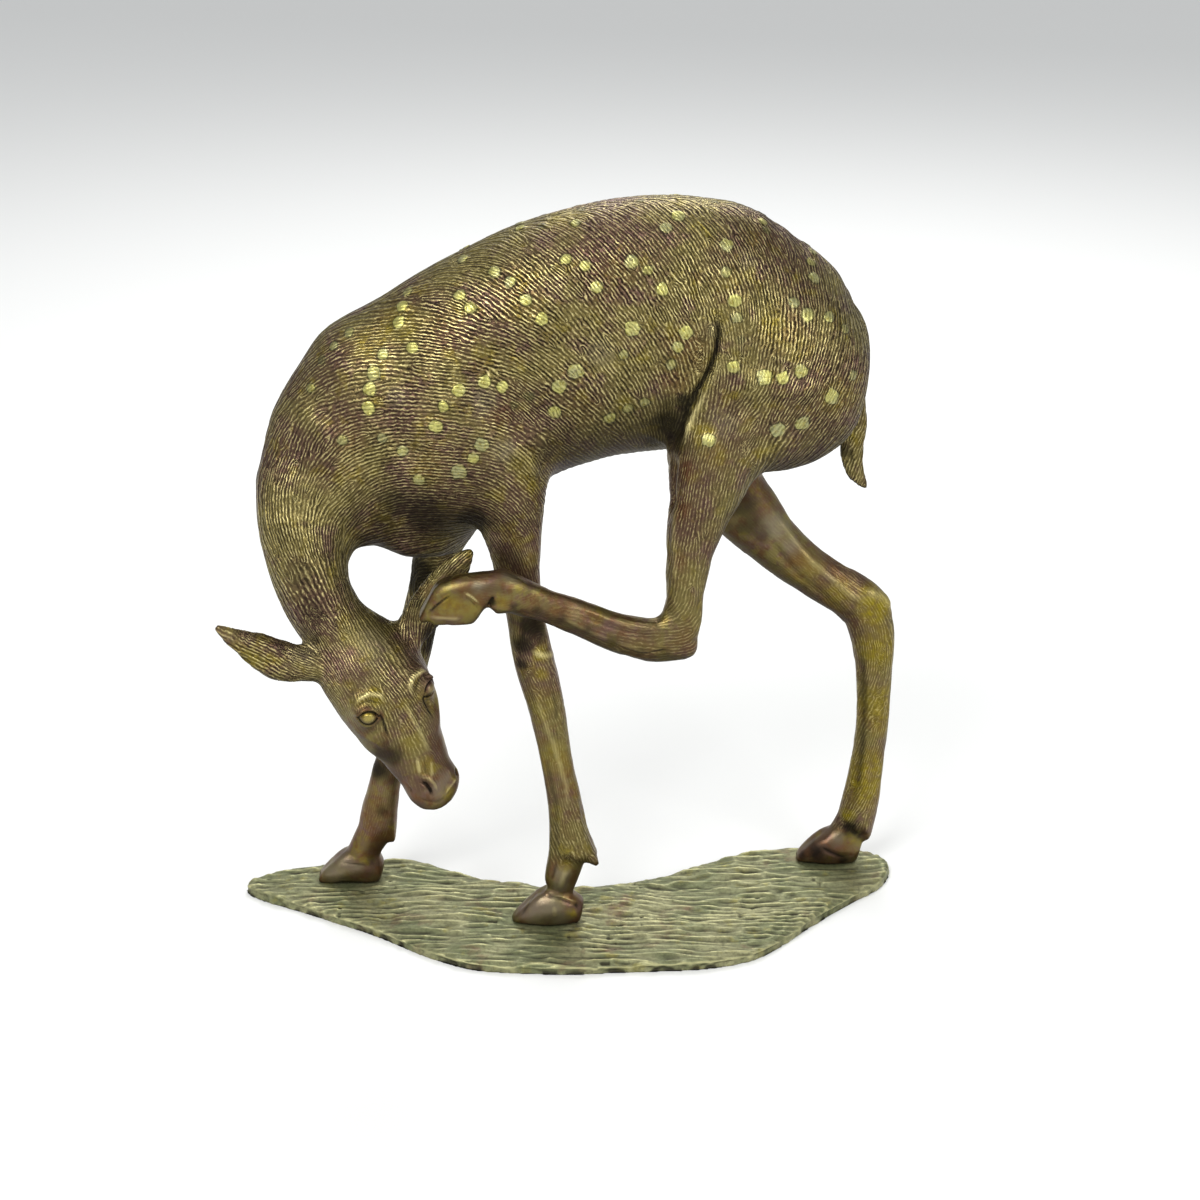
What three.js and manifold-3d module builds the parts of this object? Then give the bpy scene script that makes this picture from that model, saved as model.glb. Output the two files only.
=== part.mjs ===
// Bronze sculpture of a spotted deer that bends its neck round to scratch an ear with a hind hoof.
// Millimetres, +Z up, head towards -X, the deer's left side towards -Y, underside of the plate at Z = 0.
// The deer is modelled as one solid skin around named landmarks, and the ground plate is its own solid.
import * as THREE from "three";
import { mergeVertices } from "three/addons/utils/BufferGeometryUtils.js";
import Module from "manifold-3d";

// Driving dimensions
const SAMPLE_STEP = 5; // spacing of the points where the deer's form is sampled
const DEER_TRIANGLES = 8000;
const SOLE_HEIGHT = 10.3; // flat soles stand this high above the underside
const TOUCH_GAP = 0.3; // between the soles and the plate
const PAD_HEIGHT = SOLE_HEIGHT - TOUCH_GAP;
const HOOF_HEIGHT = 29; // from the coronet down to the sole
const PLATE_LENGTH = 706;
const PLATE_RIM = 7; // thickness of the plate at its edge

// Deer landmarks.
// Each station is [x, y, z, half size across the limb from left to right, half size front to back].
const SPINE = [
  [-189, 15, 520, 52, 90], // chest
  [-143, 17, 557, 70, 119], // withers
  [-67, 22, 601, 80, 122],
  [3, 28, 629, 86, 126], // middle of the back
  [73, 36, 641, 88, 129],
  [137, 42, 639, 84, 127], // loin
  [199, 47, 618, 76, 107],
  [247, 49, 594, 60, 74], // rump
];
const NECK = [
  [-184, 17, 566, 50, 83],
  [-226, 8, 527, 48, 75],
  [-250, -8, 486, 45, 63],
  [-259, -25, 450, 41, 54],
  [-258, -42, 416, 38, 45],
  [-248, -52, 383, 36, 39],
  [-228, -57, 352, 34, 36],
  [-206, -61, 333, 32, 32], // behind the poll
];
const NEAR_FORELEG = [
  [-109, -22, 582, 30, 52], // shoulder
  [-73, -30, 533, 32, 46],
  [-56, -34, 492, 28, 35], // elbow
  [-53, -35, 450, 22, 29],
  [-50, -36, 405, 18, 23],
  [-43, -36, 364, 16, 19],
  [-36, -36, 320, 18, 21],
  [-30, -36, 292, 18, 21], // knee
  [-22, -37, 258, 14, 19],
  [-16, -37, 221, 12.5, 17.5],
  [-10, -37, 186, 12.5, 17],
  [-3, -38, 146, 13.5, 18],
  [0, -38, 108, 17, 21], // fetlock
  [-3, -38, 80, 16, 19],
  [-9, -38, 56, 15, 18], // pastern
];
const FAR_FORELEG = [
  [-112, 40, 540, 30, 50],
  [-104, 44, 490, 26, 40],
  [-118, 47, 445, 22, 30],
  [-134, 48, 400, 18, 24],
  [-150, 50, 342, 15, 19],
  [-163, 50, 288, 18, 20], // knee
  [-170, 50, 252, 14, 18],
  [-179, 50, 210, 12.5, 16.5],
  [-188, 50, 168, 12.5, 16.5],
  [-199, 50, 126, 13.5, 17.5],
  [-206, 50, 90, 17, 20.5], // fetlock
  [-212, 50, 68, 16, 18.5],
  [-224, 50, 46, 15, 17.5], // pastern
];
const STANDING_HINDLEG = [
  [215, 84, 600, 36, 78], // hip
  [172, 90, 525, 34, 60],
  [148, 96, 474, 30, 47], // stifle
  [181, 99, 427, 26, 37],
  [226, 101, 376, 21, 28],
  [270, 102, 341, 17, 25],
  [313, 102, 313, 17, 27], // hock
  [325, 101, 276, 16, 24],
  [328, 100, 236, 14, 20],
  [329, 100, 189, 13, 18],
  [327, 99, 146, 13, 18],
  [323, 98, 108, 14.5, 19],
  [319, 97, 78, 17, 21], // fetlock
  [312, 96, 56, 16, 19],
  [302, 95, 40, 15, 18], // pastern
];
const RAISED_THIGH = [
  [210, 4, 606, 44, 88], // hip
  [176, -12, 574, 42, 70],
  [150, -30, 538, 34, 48], // stifle
  [138, -40, 503, 28, 41],
  [128, -45, 464, 22, 30],
  [121, -48, 424, 18, 23],
  [118, -49, 386, 15, 19],
  [116, -50, 354, 15, 20], // hock
];
const RAISED_FOOT = [
  [116, -50, 342, 14, 20], // hock
  [90, -54, 339, 15, 24],
  [52, -60, 350, 14, 21],
  [15, -68, 369, 13, 19],
  [-17, -77, 386, 13, 17.5],
  [-43, -84, 399, 15, 19.5],
  [-62, -88, 409, 16.5, 21], // fetlock
  [-82, -90, 412, 15, 17],
  [-104, -91, 411, 14, 15], // pastern
];
const TAIL = [
  [266, 50, 600, 10, 15],
  [284, 50, 570, 10, 15],
  [291, 48, 538, 9, 13.5],
  [288, 45, 508, 8, 13.5],
  [293, 43, 482, 6, 10],
  [306, 41, 466, 4, 4], // tip
];

// Head: its own axes run from poll to nose, out of the forehead, and towards the deer's right.
const EYE_LEVEL = new THREE.Vector3(-178, -86, 289); // middle of the skull between the eyes
const MUZZLE_AXIS = new THREE.Vector3(0.42, -0.12, -0.9).normalize();
const TOWARD_BROW = new THREE.Vector3(0.4, -0.88, 0.27);
const RIGHT_AXIS = new THREE.Vector3().crossVectors(MUZZLE_AXIS, TOWARD_BROW).normalize();
const FOREHEAD_AXIS = new THREE.Vector3().crossVectors(RIGHT_AXIS, MUZZLE_AXIS);
// Head stations are [down the face, out of the forehead, half width, half depth].
const HEAD = [
  [-62, -16, 37, 31], // poll
  [-38, -11, 52, 40],
  [-8, -6, 51, 40], // brow
  [22, -6, 45, 37],
  [52, -4, 34, 30],
  [82, 0, 28, 24],
  [107, 1, 25, 19], // nose
];
const JAW = [
  [-34, -26, 42, 24],
  [0, -28, 30, 20],
  [40, -24, 18, 15],
  [75, -14, 15, 11],
  [96, -8, 13, 9], // chin
];
// Ear stations are [x, y, z, half width of the leaf, half thickness].
const RIGHT_EAR = [
  [-222, -78, 328, 16, 13],
  [-248, -84, 327, 17, 13], // root
  [-265, -90, 330, 18.5, 12],
  [-283, -97, 337, 21, 11],
  [-304, -103, 351, 18.5, 9],
  [-320, -108, 363, 13, 8],
  [-333, -112, 374, 9, 6],
  [-343, -115, 381, 5, 4], // tip
];
const LEFT_EAR = [
  [-175, -60, 326, 15, 13],
  [-160, -57, 345, 16, 13], // root
  [-143, -54, 369, 20, 12],
  [-128, -53, 392, 19, 11],
  [-113, -53, 413, 16, 9],
  [-102, -53, 427, 11, 7],
  [-94, -53, 437, 5, 4], // tip
];

// One claw: [forward of the coronet, height over the sole, out from the middle, half width, half height].
const CLAW = [
  [-20, 10, 5, 11, 16], // heel
  [-6, 15, 6, 12.5, 21],
  [9, 14, 7, 12.5, 21],
  [25, 8, 7, 10.5, 13],
  [40, 2, 5.5, 6, 6], // toe
];
const CORONET_HEIGHT = SOLE_HEIGHT + HOOF_HEIGHT;
// A hoof's length, width and height are taken from the claw times size, and its height also times tall.
const HOOVES = [
  { coronet: new THREE.Vector3(-14, -38, CORONET_HEIGHT), size: 1.06, tall: 1 },
  { coronet: new THREE.Vector3(-231, 50, CORONET_HEIGHT), size: 1.02, tall: 1 },
  { coronet: new THREE.Vector3(293, 94, CORONET_HEIGHT), size: 1, tall: 1 },
  { coronet: new THREE.Vector3(-106, -91, 414), size: 0.88, tall: 1.45, raised: true },
];

// Behind each fetlock two dewclaws hang from a wedge of hide: where it starts and where its tip is.
const DEWCLAWS = [
  [new THREE.Vector3(6, -38, 112), new THREE.Vector3(30, -38, 80)],
  [new THREE.Vector3(-201, 50, 92), new THREE.Vector3(-191, 50, 60)],
  [new THREE.Vector3(324, 97, 80), new THREE.Vector3(328, 97, 38)],
  [new THREE.Vector3(-58, -88, 400), new THREE.Vector3(-68, -91, 390)],
];

// The plate's front and back edges, as y at even steps along x from its left end to its right end.
const FRONT_EDGE = [24, 0, -29, -60, -98, -126, -133, -136, -132, -129, -123, -101, -45, 8, 50];
const BACK_EDGE = [55, 76, 88, 97, 84, 59, 41, 34, 43, 60, 90, 116, 124, 125, 112];

// How far, in millimetres, each form melts into those it meets.
const BLEND = {
  spine: 1,
  neck: 50,
  leg: 28,
  tail: 10,
  head: 16,
  ear: 9,
  hock: 10,
  claw: 5,
  dewclaw: 6,
  hollow: 4,
};
const ROUND_CAP = 0.8; // how far a limb's rounded end reaches, as a share of its half size
const BLUNT_CAP = 0.6;
const HOCK_POINT = new THREE.Vector3(119, -50, 330);
// Rounded masses of the body: [x, y, z, half length, half width, half height, blend].
const MASSES = [
  [-152, 12, 478, 68, 48, 64, 46], // brisket
  [-112, -34, 552, 52, 26, 78, 34], // near shoulder
  [-112, 66, 552, 52, 26, 78, 34], // far shoulder
  [209, 2, 590, 84, 44, 86, 36], // near haunch
  [209, 84, 590, 80, 42, 82, 36], // far haunch
];
// Forms on both sides of the face: [down, out, aside, half width, half depth, half length, blend].
const FACE = [
  [-8, 20, 31, 13, 9, 15, 10], // brow
  [4, 13, 37, 8, 9, 9, 3], // eye
  [98, 6, 18, 11, 12, 13, 6], // nostril wing
];

// Small tools for points and numbers
const vec = (x, y, z) => new THREE.Vector3(x, y, z);
const mix = (a, b, t) => a + (b - a) * t;

function smoothstep(low, high, value) {
  const t = Math.min(Math.max((value - low) / (high - low), 0), 1);
  return t * t * (3 - 2 * t);
}

// A point given along the head's own axes.
function headPoint(down, out, right = 0) {
  return EYE_LEVEL.clone()
    .addScaledVector(MUZZLE_AXIS, down)
    .addScaledVector(FOREHEAD_AXIS, out)
    .addScaledVector(RIGHT_AXIS, right);
}

// Distance to an ellipsoid from an offset given along its own axes, negative inside.
function ellipsoidDistance(a, b, c, ra, rb, rc) {
  const [u, v, w] = [a / ra, b / rb, c / rc];
  const scaled = Math.sqrt(u * u + v * v + w * w);
  const slope = Math.sqrt((u * u) / (ra * ra) + (v * v) / (rb * rb) + (w * w) / (rc * rc));
  return slope < 1e-9 ? -Math.min(ra, rb, rc) : (scaled * (scaled - 1)) / slope;
}

// Box around points, grown by a margin.
function boxAround(points, margin) {
  return new THREE.Box3().setFromPoints(points).expandByScalar(margin);
}

// A form swept along a smooth curve through stations, with an elliptical section.
// side is the direction of each section's first half size at the first station, sideEnd at the last.
function swept(stations, side = vec(0, 1, 0), sideEnd = side, capShare = ROUND_CAP) {
  const curve = new THREE.CatmullRomCurve3(
    stations.map(([x, y, z]) => vec(x, y, z)),
    false,
    "centripetal",
  );
  const stepsPerSpan = 4;
  const spans = stations.length - 1;
  const rings = [];
  for (let i = 0; i <= spans * stepsPerSpan; i++) {
    const along = i / stepsPerSpan;
    const first = Math.min(Math.floor(along), spans - 1);
    const share = along - first;
    const ease = smoothstep(0, 1, share);
    const toward = side.clone().lerp(sideEnd, along / spans);
    const tangent = curve.getTangent(along / spans);
    toward.addScaledVector(tangent, -toward.dot(tangent)).normalize();
    rings.push({
      at: curve.getPoint(along / spans),
      side: toward,
      half: mix(stations[first][3], stations[first + 1][3], ease),
      depth: mix(stations[first][4], stations[first + 1][4], ease),
    });
  }
  const widest = Math.max(...stations.map((s) => Math.max(s[3], s[4])));
  return {
    box: boxAround(rings.map((r) => r.at), widest),
    distance(x, y, z) {
      let nearest = Infinity;
      for (let i = 1; i < rings.length; i++) {
        const a = rings[i - 1];
        const b = rings[i];
        const dx = b.at.x - a.at.x;
        const dy = b.at.y - a.at.y;
        const dz = b.at.z - a.at.z;
        const length2 = dx * dx + dy * dy + dz * dz;
        let t = ((x - a.at.x) * dx + (y - a.at.y) * dy + (z - a.at.z) * dz) / length2;
        t = Math.min(Math.max(t, 0), 1);
        const qx = x - a.at.x - dx * t;
        const qy = y - a.at.y - dy * t;
        const qz = z - a.at.z - dz * t;
        const half = mix(a.half, b.half, t);
        const depth = mix(a.depth, b.depth, t);
        const sx = mix(a.side.x, b.side.x, t);
        const sy = mix(a.side.y, b.side.y, t);
        const sz = mix(a.side.z, b.side.z, t);
        const across = qx * sx + qy * sy + qz * sz;
        const beyond = (qx * dx + qy * dy + qz * dz) / Math.sqrt(length2);
        const rest = Math.sqrt(Math.max(qx * qx + qy * qy + qz * qz - across * across - beyond * beyond, 0));
        const cap = capShare * Math.min(half, depth);
        nearest = Math.min(nearest, ellipsoidDistance(across, rest, beyond, half, depth, cap));
      }
      return nearest;
    },
  };
}

// An ellipsoid with radii along three given axes.
function ball(at, radii, axes = [vec(1, 0, 0), vec(0, 1, 0), vec(0, 0, 1)]) {
  const [u, v, w] = axes;
  return {
    box: boxAround([at], Math.max(...radii)),
    distance(x, y, z) {
      const dx = x - at.x;
      const dy = y - at.y;
      const dz = z - at.z;
      return ellipsoidDistance(
        dx * u.x + dy * u.y + dz * u.z,
        dx * v.x + dy * v.y + dz * v.z,
        dx * w.x + dy * w.y + dz * w.z,
        ...radii,
      );
    },
  };
}

const HEAD_AXES = [RIGHT_AXIS, FOREHEAD_AXIS, MUZZLE_AXIS];

const NOTHING_NEAR = 200; // distance held where no form has been added
const WIDEST_BLEND = 40; // reach of a blend that varies from place to place

// Clay: signed distances on a grid. Forms are added with a soft blend, or carved away.
class Clay {
  constructor(box, step) {
    this.step = step;
    this.low = box.min.clone();
    this.counts = ["x", "y", "z"].map((k) => Math.ceil((box.max[k] - box.min[k]) / step) + 1);
    this.values = new Float32Array(this.counts[0] * this.counts[1] * this.counts[2]).fill(NOTHING_NEAR);
  }

  // Calls change(value, form distance, blend) at every grid point that the form can reach.
  visit(form, blend, change) {
    const widest = typeof blend === "number" ? blend : WIDEST_BLEND;
    const reach = form.box.clone().expandByScalar(widest + 2 * this.step);
    const from = ["x", "y", "z"].map((k) =>
      Math.max(0, Math.floor((reach.min[k] - this.low[k]) / this.step)),
    );
    const to = ["x", "y", "z"].map((k, n) =>
      Math.min(this.counts[n] - 1, Math.ceil((reach.max[k] - this.low[k]) / this.step)),
    );
    for (let k = from[2]; k <= to[2]; k++) {
      for (let j = from[1]; j <= to[1]; j++) {
        for (let i = from[0]; i <= to[0]; i++) {
          const x = this.low.x + i * this.step;
          const y = this.low.y + j * this.step;
          const z = this.low.z + k * this.step;
          const n = i + this.counts[0] * (j + this.counts[1] * k);
          const width = typeof blend === "number" ? blend : blend(x, y, z);
          this.values[n] = change(this.values[n], form.distance(x, y, z), width);
        }
      }
    }
    return this;
  }

  add(form, blend) {
    return this.visit(form, blend, (a, b, width) => {
      const h = Math.max(width - Math.abs(a - b), 0) / width;
      return Math.min(a, b) - (h * h * width) / 4;
    });
  }

  carve(form, blend) {
    return this.visit(form, blend, (a, b, width) => {
      const h = Math.max(width - Math.abs(a + b), 0) / width;
      return Math.max(a, -b) + (h * h * width) / 4;
    });
  }

  // The closed surface where the distance is zero, from six tetrahedra to each grid cube.
  surface() {
    const [nx, ny, nz] = this.counts;
    const { values, step, low } = this;
    const corner = [0, 1, nx, nx + 1, nx * ny, nx * ny + 1, nx * ny + nx, nx * ny + nx + 1];
    const tetrahedra = [
      [0, 1, 3, 7],
      [0, 3, 2, 7],
      [0, 2, 6, 7],
      [0, 6, 4, 7],
      [0, 4, 5, 7],
      [0, 5, 1, 7],
    ];
    const least = 0.04 * step;
    // Points almost on the surface are moved off it, so no triangle has no size.
    for (let n = 0; n < values.length; n++) {
      if (Math.abs(values[n]) < least) values[n] = values[n] < 0 ? -least : least;
    }
    const positions = [];
    const triangles = [];
    const made = new Map();
    const crossing = (a, b) => {
      const [p, q] = a < b ? [a, b] : [b, a];
      const key = p * corner.length + corner.indexOf(q - p);
      let index = made.get(key);
      if (index === undefined) {
        index = positions.length / 3;
        made.set(key, index);
        const t = values[p] / (values[p] - values[q]);
        const at = (n, c) => [n % nx, Math.floor(n / nx) % ny, Math.floor(n / (nx * ny))][c];
        for (const c of [0, 1, 2]) {
          positions.push(low.getComponent(c) + step * mix(at(p, c), at(q, c), t));
        }
      }
      return index;
    };
    for (let k = 0; k < nz - 1; k++) {
      for (let j = 0; j < ny - 1; j++) {
        for (let i = 0; i < nx - 1; i++) {
          const base = i + nx * (j + ny * k);
          let inside = 0;
          for (const c of corner) inside += values[base + c] < 0 ? 1 : 0;
          if (inside === 0 || inside === 8) continue;
          for (const tetrahedron of tetrahedra) {
            const points = tetrahedron.map((c) => base + corner[c]);
            const within = points.filter((n) => values[n] < 0);
            const outside = points.filter((n) => values[n] >= 0);
            if (!within.length || !outside.length) continue;
            // An even order of inside then outside corners keeps the faces turned outwards.
            const order = [...within, ...outside].map((n) => points.indexOf(n));
            let swaps = 0;
            for (let a = 0; a < 4; a++) {
              for (let b = a + 1; b < 4; b++) swaps += order[a] > order[b] ? 1 : 0;
            }
            const face = (p, q, r) => triangles.push(...(swaps % 2 ? [p, r, q] : [p, q, r]));
            if (within.length === 1) {
              const [a, b, c] = outside.map((n) => crossing(within[0], n));
              face(a, b, c);
            } else if (within.length === 3) {
              const [a, b, c] = within.map((n) => crossing(n, outside[0]));
              face(a, b, c);
            } else {
              const [p, q] = within;
              const [r, s] = outside;
              const [pr, ps, qr, qs] = [crossing(p, r), crossing(p, s), crossing(q, r), crossing(q, s)];
              face(pr, ps, qs);
              face(pr, qs, qr);
            }
          }
        }
      }
    }
    return { positions: Float64Array.from(positions), triangles: Uint32Array.from(triangles) };
  }
}

// Heap of edges, the cheapest to close up first.
class EdgeQueue {
  constructor() {
    this.items = [];
  }

  push(item) {
    const { items } = this;
    let n = items.push(item) - 1;
    while (n > 0) {
      const parent = (n - 1) >> 1;
      if (items[parent].cost <= item.cost) break;
      items[n] = items[parent];
      n = parent;
    }
    items[n] = item;
  }

  pop() {
    const { items } = this;
    const top = items[0];
    const last = items.pop();
    const count = items.length;
    if (!count) return top;
    let n = 0;
    for (;;) {
      let child = 2 * n + 1;
      if (child >= count) break;
      if (child + 1 < count && items[child + 1].cost < items[child].cost) child++;
      if (items[child].cost >= last.cost) break;
      items[n] = items[child];
      n = child;
    }
    items[n] = last;
    return top;
  }
}

// A closed skin of triangles whose short edges can be closed up one by one.
class Skin {
  constructor({ positions, triangles }, importance) {
    this.at = positions;
    this.corners = triangles;
    this.left = triangles.length / 3;
    this.around = Array.from({ length: positions.length / 3 }, () => []);
    for (let i = 0; i < triangles.length; i++) this.around[triangles[i]].push(Math.floor(i / 3));
    // Squared distances to the planes round each vertex, summed in the ten numbers of a symmetric form.
    this.sums = this.around.map(() => new Float64Array(10));
    this.version = new Uint32Array(this.around.length);
    for (let f = 0; f < this.left; f++) this.weighPlane(f, importance);
    this.queue = new EdgeQueue();
  }

  offerAll() {
    for (let v = 0; v < this.around.length; v++) {
      if (!this.around[v]) continue;
      for (const w of this.neighbours(v)) if (v < w) this.offer(v, w);
    }
  }

  // The normal of face f, as long as twice its area, with vertex v moved to point where they are given.
  normal(f, v, point) {
    const { at, corners } = this;
    const c = [];
    for (let i = 0; i < 3; i++) {
      const w = corners[3 * f + i];
      if (w === v) c.push(point[0], point[1], point[2]);
      else c.push(at[3 * w], at[3 * w + 1], at[3 * w + 2]);
    }
    const [ux, uy, uz] = [c[3] - c[0], c[4] - c[1], c[5] - c[2]];
    const [vx, vy, vz] = [c[6] - c[0], c[7] - c[1], c[8] - c[2]];
    const [wx, wy, wz] = [vx - ux, vy - uy, vz - uz];
    const longest = Math.max(
      ux * ux + uy * uy + uz * uz,
      vx * vx + vy * vy + vz * vz,
      wx * wx + wy * wy + wz * wz,
    );
    const [nx, ny, nz] = [uy * vz - uz * vy, uz * vx - ux * vz, ux * vy - uy * vx];
    return { nx, ny, nz, size: Math.sqrt(nx * nx + ny * ny + nz * nz), longest };
  }

  // Adds a face's plane to its vertices, and a little of its size, which keeps triangles alike.
  weighPlane(f, importance) {
    const evenness = 0.004;
    const { nx, ny, nz, size } = this.normal(f);
    if (size < 1e-12) return;
    const [x, y, z] = [nx / size, ny / size, nz / size];
    for (let i = 0; i < 3; i++) {
      const v = this.corners[3 * f + i];
      const [px, py, pz] = this.at.subarray(3 * v, 3 * v + 3);
      const weight = size * importance(px, py, pz);
      const d = -(x * px + y * py + z * pz);
      const e = evenness;
      const terms = [x * x + e, x * y, x * z, x * d - e * px, y * y + e, y * z, y * d - e * py];
      terms.push(z * z + e, z * d - e * pz, d * d + e * (px * px + py * py + pz * pz));
      for (let k = 0; k < 10; k++) this.sums[v][k] += weight * terms[k];
    }
  }

  neighbours(v) {
    const found = [];
    for (const f of this.around[v]) {
      for (let i = 3 * f; i < 3 * f + 3; i++) {
        const w = this.corners[i];
        if (w !== v && !found.includes(w)) found.push(w);
      }
    }
    return found;
  }

  // Puts the edge u, v in the queue with the point of least error and its cost.
  offer(u, v) {
    const { at, sums } = this;
    const q = new Float64Array(10);
    for (let k = 0; k < 10; k++) q[k] = sums[u][k] + sums[v][k];
    const [a, b, c, d, e, f, g, h, i, j] = q;
    const det = a * (e * h - f * f) - b * (b * h - f * c) + c * (b * f - e * c);
    let x = -(d * (e * h - f * f) - b * (g * h - f * i) + c * (g * f - e * i)) / det;
    let y = -(a * (g * h - f * i) - d * (b * h - f * c) + c * (b * i - g * c)) / det;
    let z = -(a * (e * i - g * f) - b * (b * i - g * c) + d * (b * f - e * c)) / det;
    const [ux, uy, uz] = at.subarray(3 * u, 3 * u + 3);
    const [vx, vy, vz] = at.subarray(3 * v, 3 * v + 3);
    const [mx, my, mz] = [(ux + vx) / 2, (uy + vy) / 2, (uz + vz) / 2];
    const reach2 = 4 * ((ux - vx) ** 2 + (uy - vy) ** 2 + (uz - vz) ** 2);
    if (!((x - mx) ** 2 + (y - my) ** 2 + (z - mz) ** 2 < reach2)) [x, y, z] = [mx, my, mz];
    const crossed = b * x * y + c * x * z + f * y * z + d * x + g * y + i * z;
    const cost = a * x * x + e * y * y + h * z * z + 2 * crossed + j;
    this.queue.push({ cost, u, v, point: [x, y, z], stamp: this.version[u] + this.version[v] });
  }

  // A move is refused where a face would turn over or become a worse sliver.
  spoils(v, other, point) {
    const { corners } = this;
    const mostTurn = 0.5; // cosine of the angle a face may turn through
    const leastRound = 0.08;
    for (const f of this.around[v]) {
      if (corners[3 * f] === other || corners[3 * f + 1] === other || corners[3 * f + 2] === other) continue;
      const before = this.normal(f);
      const after = this.normal(f, v, point);
      const dot = before.nx * after.nx + before.ny * after.ny + before.nz * after.nz;
      if (dot < mostTurn * before.size * after.size) return true;
      if (after.size / after.longest < Math.min(leastRound, before.size / before.longest)) return true;
    }
    return false;
  }

  // Closes the edge u, v up into u at the point, if the skin stays closed and whole.
  collapse({ u, v, point, stamp }) {
    const { around, corners, version } = this;
    if (!around[u] || !around[v] || version[u] + version[v] !== stamp) return;
    const near = this.neighbours(v);
    const shared = this.neighbours(u).filter((w) => near.includes(w));
    if (shared.length !== 2 || this.spoils(u, v, point) || this.spoils(v, u, point)) return;
    for (const f of around[v]) {
      const face = corners.subarray(3 * f, 3 * f + 3);
      if (face.includes(u)) {
        for (const w of face) if (w !== v) around[w] = around[w].filter((g) => g !== f);
        face.fill(0);
        this.left--;
      } else {
        face[face.indexOf(v)] = u;
        around[u].push(f);
      }
    }
    around[v] = null;
    this.at.set(point, 3 * u);
    for (let k = 0; k < 10; k++) this.sums[u][k] += this.sums[v][k];
    version[u] += version[v] + 1;
    for (const w of this.neighbours(u)) this.offer(u, w);
  }

  // Goes round until the wanted number is reached, as an edge refused once may be free later.
  simplify(wanted) {
    for (let before = Infinity; this.left > wanted && this.left < before; ) {
      before = this.left;
      const share = this.left > 8 * wanted ? 0.5 : 0.85;
      const goal = Math.max(wanted, this.left * share);
      this.queue.items.length = 0;
      this.offerAll();
      while (this.left > goal && this.queue.items.length) this.collapse(this.queue.pop());
    }
    const kept = [];
    for (let i = 0; i < this.corners.length; i += 3) {
      const [a, b, c] = this.corners.subarray(i, i + 3);
      if (a !== b) kept.push(a, b, c);
    }
    const geometry = new THREE.BufferGeometry();
    geometry.setAttribute("position", new THREE.BufferAttribute(Float32Array.from(this.at), 3));
    geometry.setIndex(kept);
    return geometry;
  }
}

// Two claws from heel to toe. A claw runs on below the sole and is cut flat there later.
function hoofForms({ coronet, size, tall }) {
  return [-1, 1].map((hand) =>
    swept(
      CLAW.map(([forward, height, apart, half, depth]) => [
        coronet.x - size * forward,
        coronet.y + size * hand * apart,
        coronet.z + size * tall * (height - HOOF_HEIGHT),
        size * half,
        size * tall * depth,
      ]),
      vec(0, 1, 0),
      vec(0, 1, 0),
      BLUNT_CAP,
    ),
  );
}

function dewclawForms([from, tip]) {
  return [-1, 1].map((hand) =>
    swept([
      [from.x, from.y + 5 * hand, from.z, 8, 11],
      [(from.x + tip.x) / 2, from.y + 7 * hand, (from.z + tip.z) / 2, 8, 9],
      [tip.x, tip.y + 8 * hand, tip.z, 5, 5],
    ]),
  );
}

// Stations given along the head's axes, turned into points of the model.
function headForm(stations) {
  const placed = stations.map(([down, out, half, depth]) => [...headPoint(down, out).toArray(), half, depth]);
  return swept(placed, RIGHT_AXIS, RIGHT_AXIS, 0.9);
}

// A leaf-shaped ear, and the hollow behind it that is carved from the side away from the forehead.
function earForms(stations, widthAxis, hollowAxis) {
  const hollow = stations.slice(1, -1).map(([x, y, z, half, depth]) => {
    const at = vec(x, y, z).addScaledVector(hollowAxis, 0.95 * depth);
    return [at.x, at.y, at.z, 0.68 * half, 0.9 * depth];
  });
  return { leaf: swept(stations, widthAxis), hollow: swept(hollow, widthAxis) };
}

function sculptDeer() {
  const whole = new THREE.Box3(vec(-370, -160, -30), vec(370, 160, 810));
  const clay = new Clay(whole, SAMPLE_STEP);
  clay.add(swept(SPINE), BLEND.spine);
  clay.add(swept(NECK, vec(0, 1, 0), RIGHT_AXIS), BLEND.neck);
  for (const [x, y, z, a, b, c, blend] of MASSES) clay.add(ball(vec(x, y, z), [a, b, c]), blend);
  clay.add(swept(FAR_FORELEG), BLEND.leg);
  clay.add(swept(NEAR_FORELEG), BLEND.leg);
  clay.add(swept(STANDING_HINDLEG), BLEND.leg);
  clay.add(swept(RAISED_THIGH, vec(0, 1, 0), vec(0, 1, 0), BLUNT_CAP), BLEND.leg);
  clay.add(swept(TAIL), BLEND.tail);

  clay.add(headForm(HEAD), BLEND.head);
  clay.add(headForm(JAW), BLEND.head);
  for (const hand of [-1, 1]) {
    for (const [down, out, aside, a, b, c, blend] of FACE) {
      clay.add(ball(headPoint(down, out, aside * hand), [a, b, c], HEAD_AXES), blend);
    }
  }
  const ears = [
    earForms(RIGHT_EAR, vec(0.2, -0.2, -0.95), vec(0.1, 0.97, -0.2)),
    earForms(LEFT_EAR, vec(0.8, 0, -0.6), vec(-0.1, 0.98, 0.1)),
  ];
  for (const { leaf } of ears) clay.add(leaf, BLEND.ear);

  // The hoof passes close by the neck and foreleg, so the raised foot only melts into its own hock.
  const footBlend = (x) => mix(2, 14, smoothstep(50, 90, x));
  clay.add(swept(RAISED_FOOT), footBlend);
  clay.add(ball(HOCK_POINT, [13, 12, 13]), BLEND.hock);
  for (const hoof of HOOVES) for (const claw of hoofForms(hoof)) clay.add(claw, BLEND.claw);
  for (const pair of DEWCLAWS) for (const claw of dewclawForms(pair)) clay.add(claw, BLEND.dewclaw);
  for (const { hollow } of ears) clay.carve(hollow, BLEND.hollow);
  return clay.surface();
}

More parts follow.
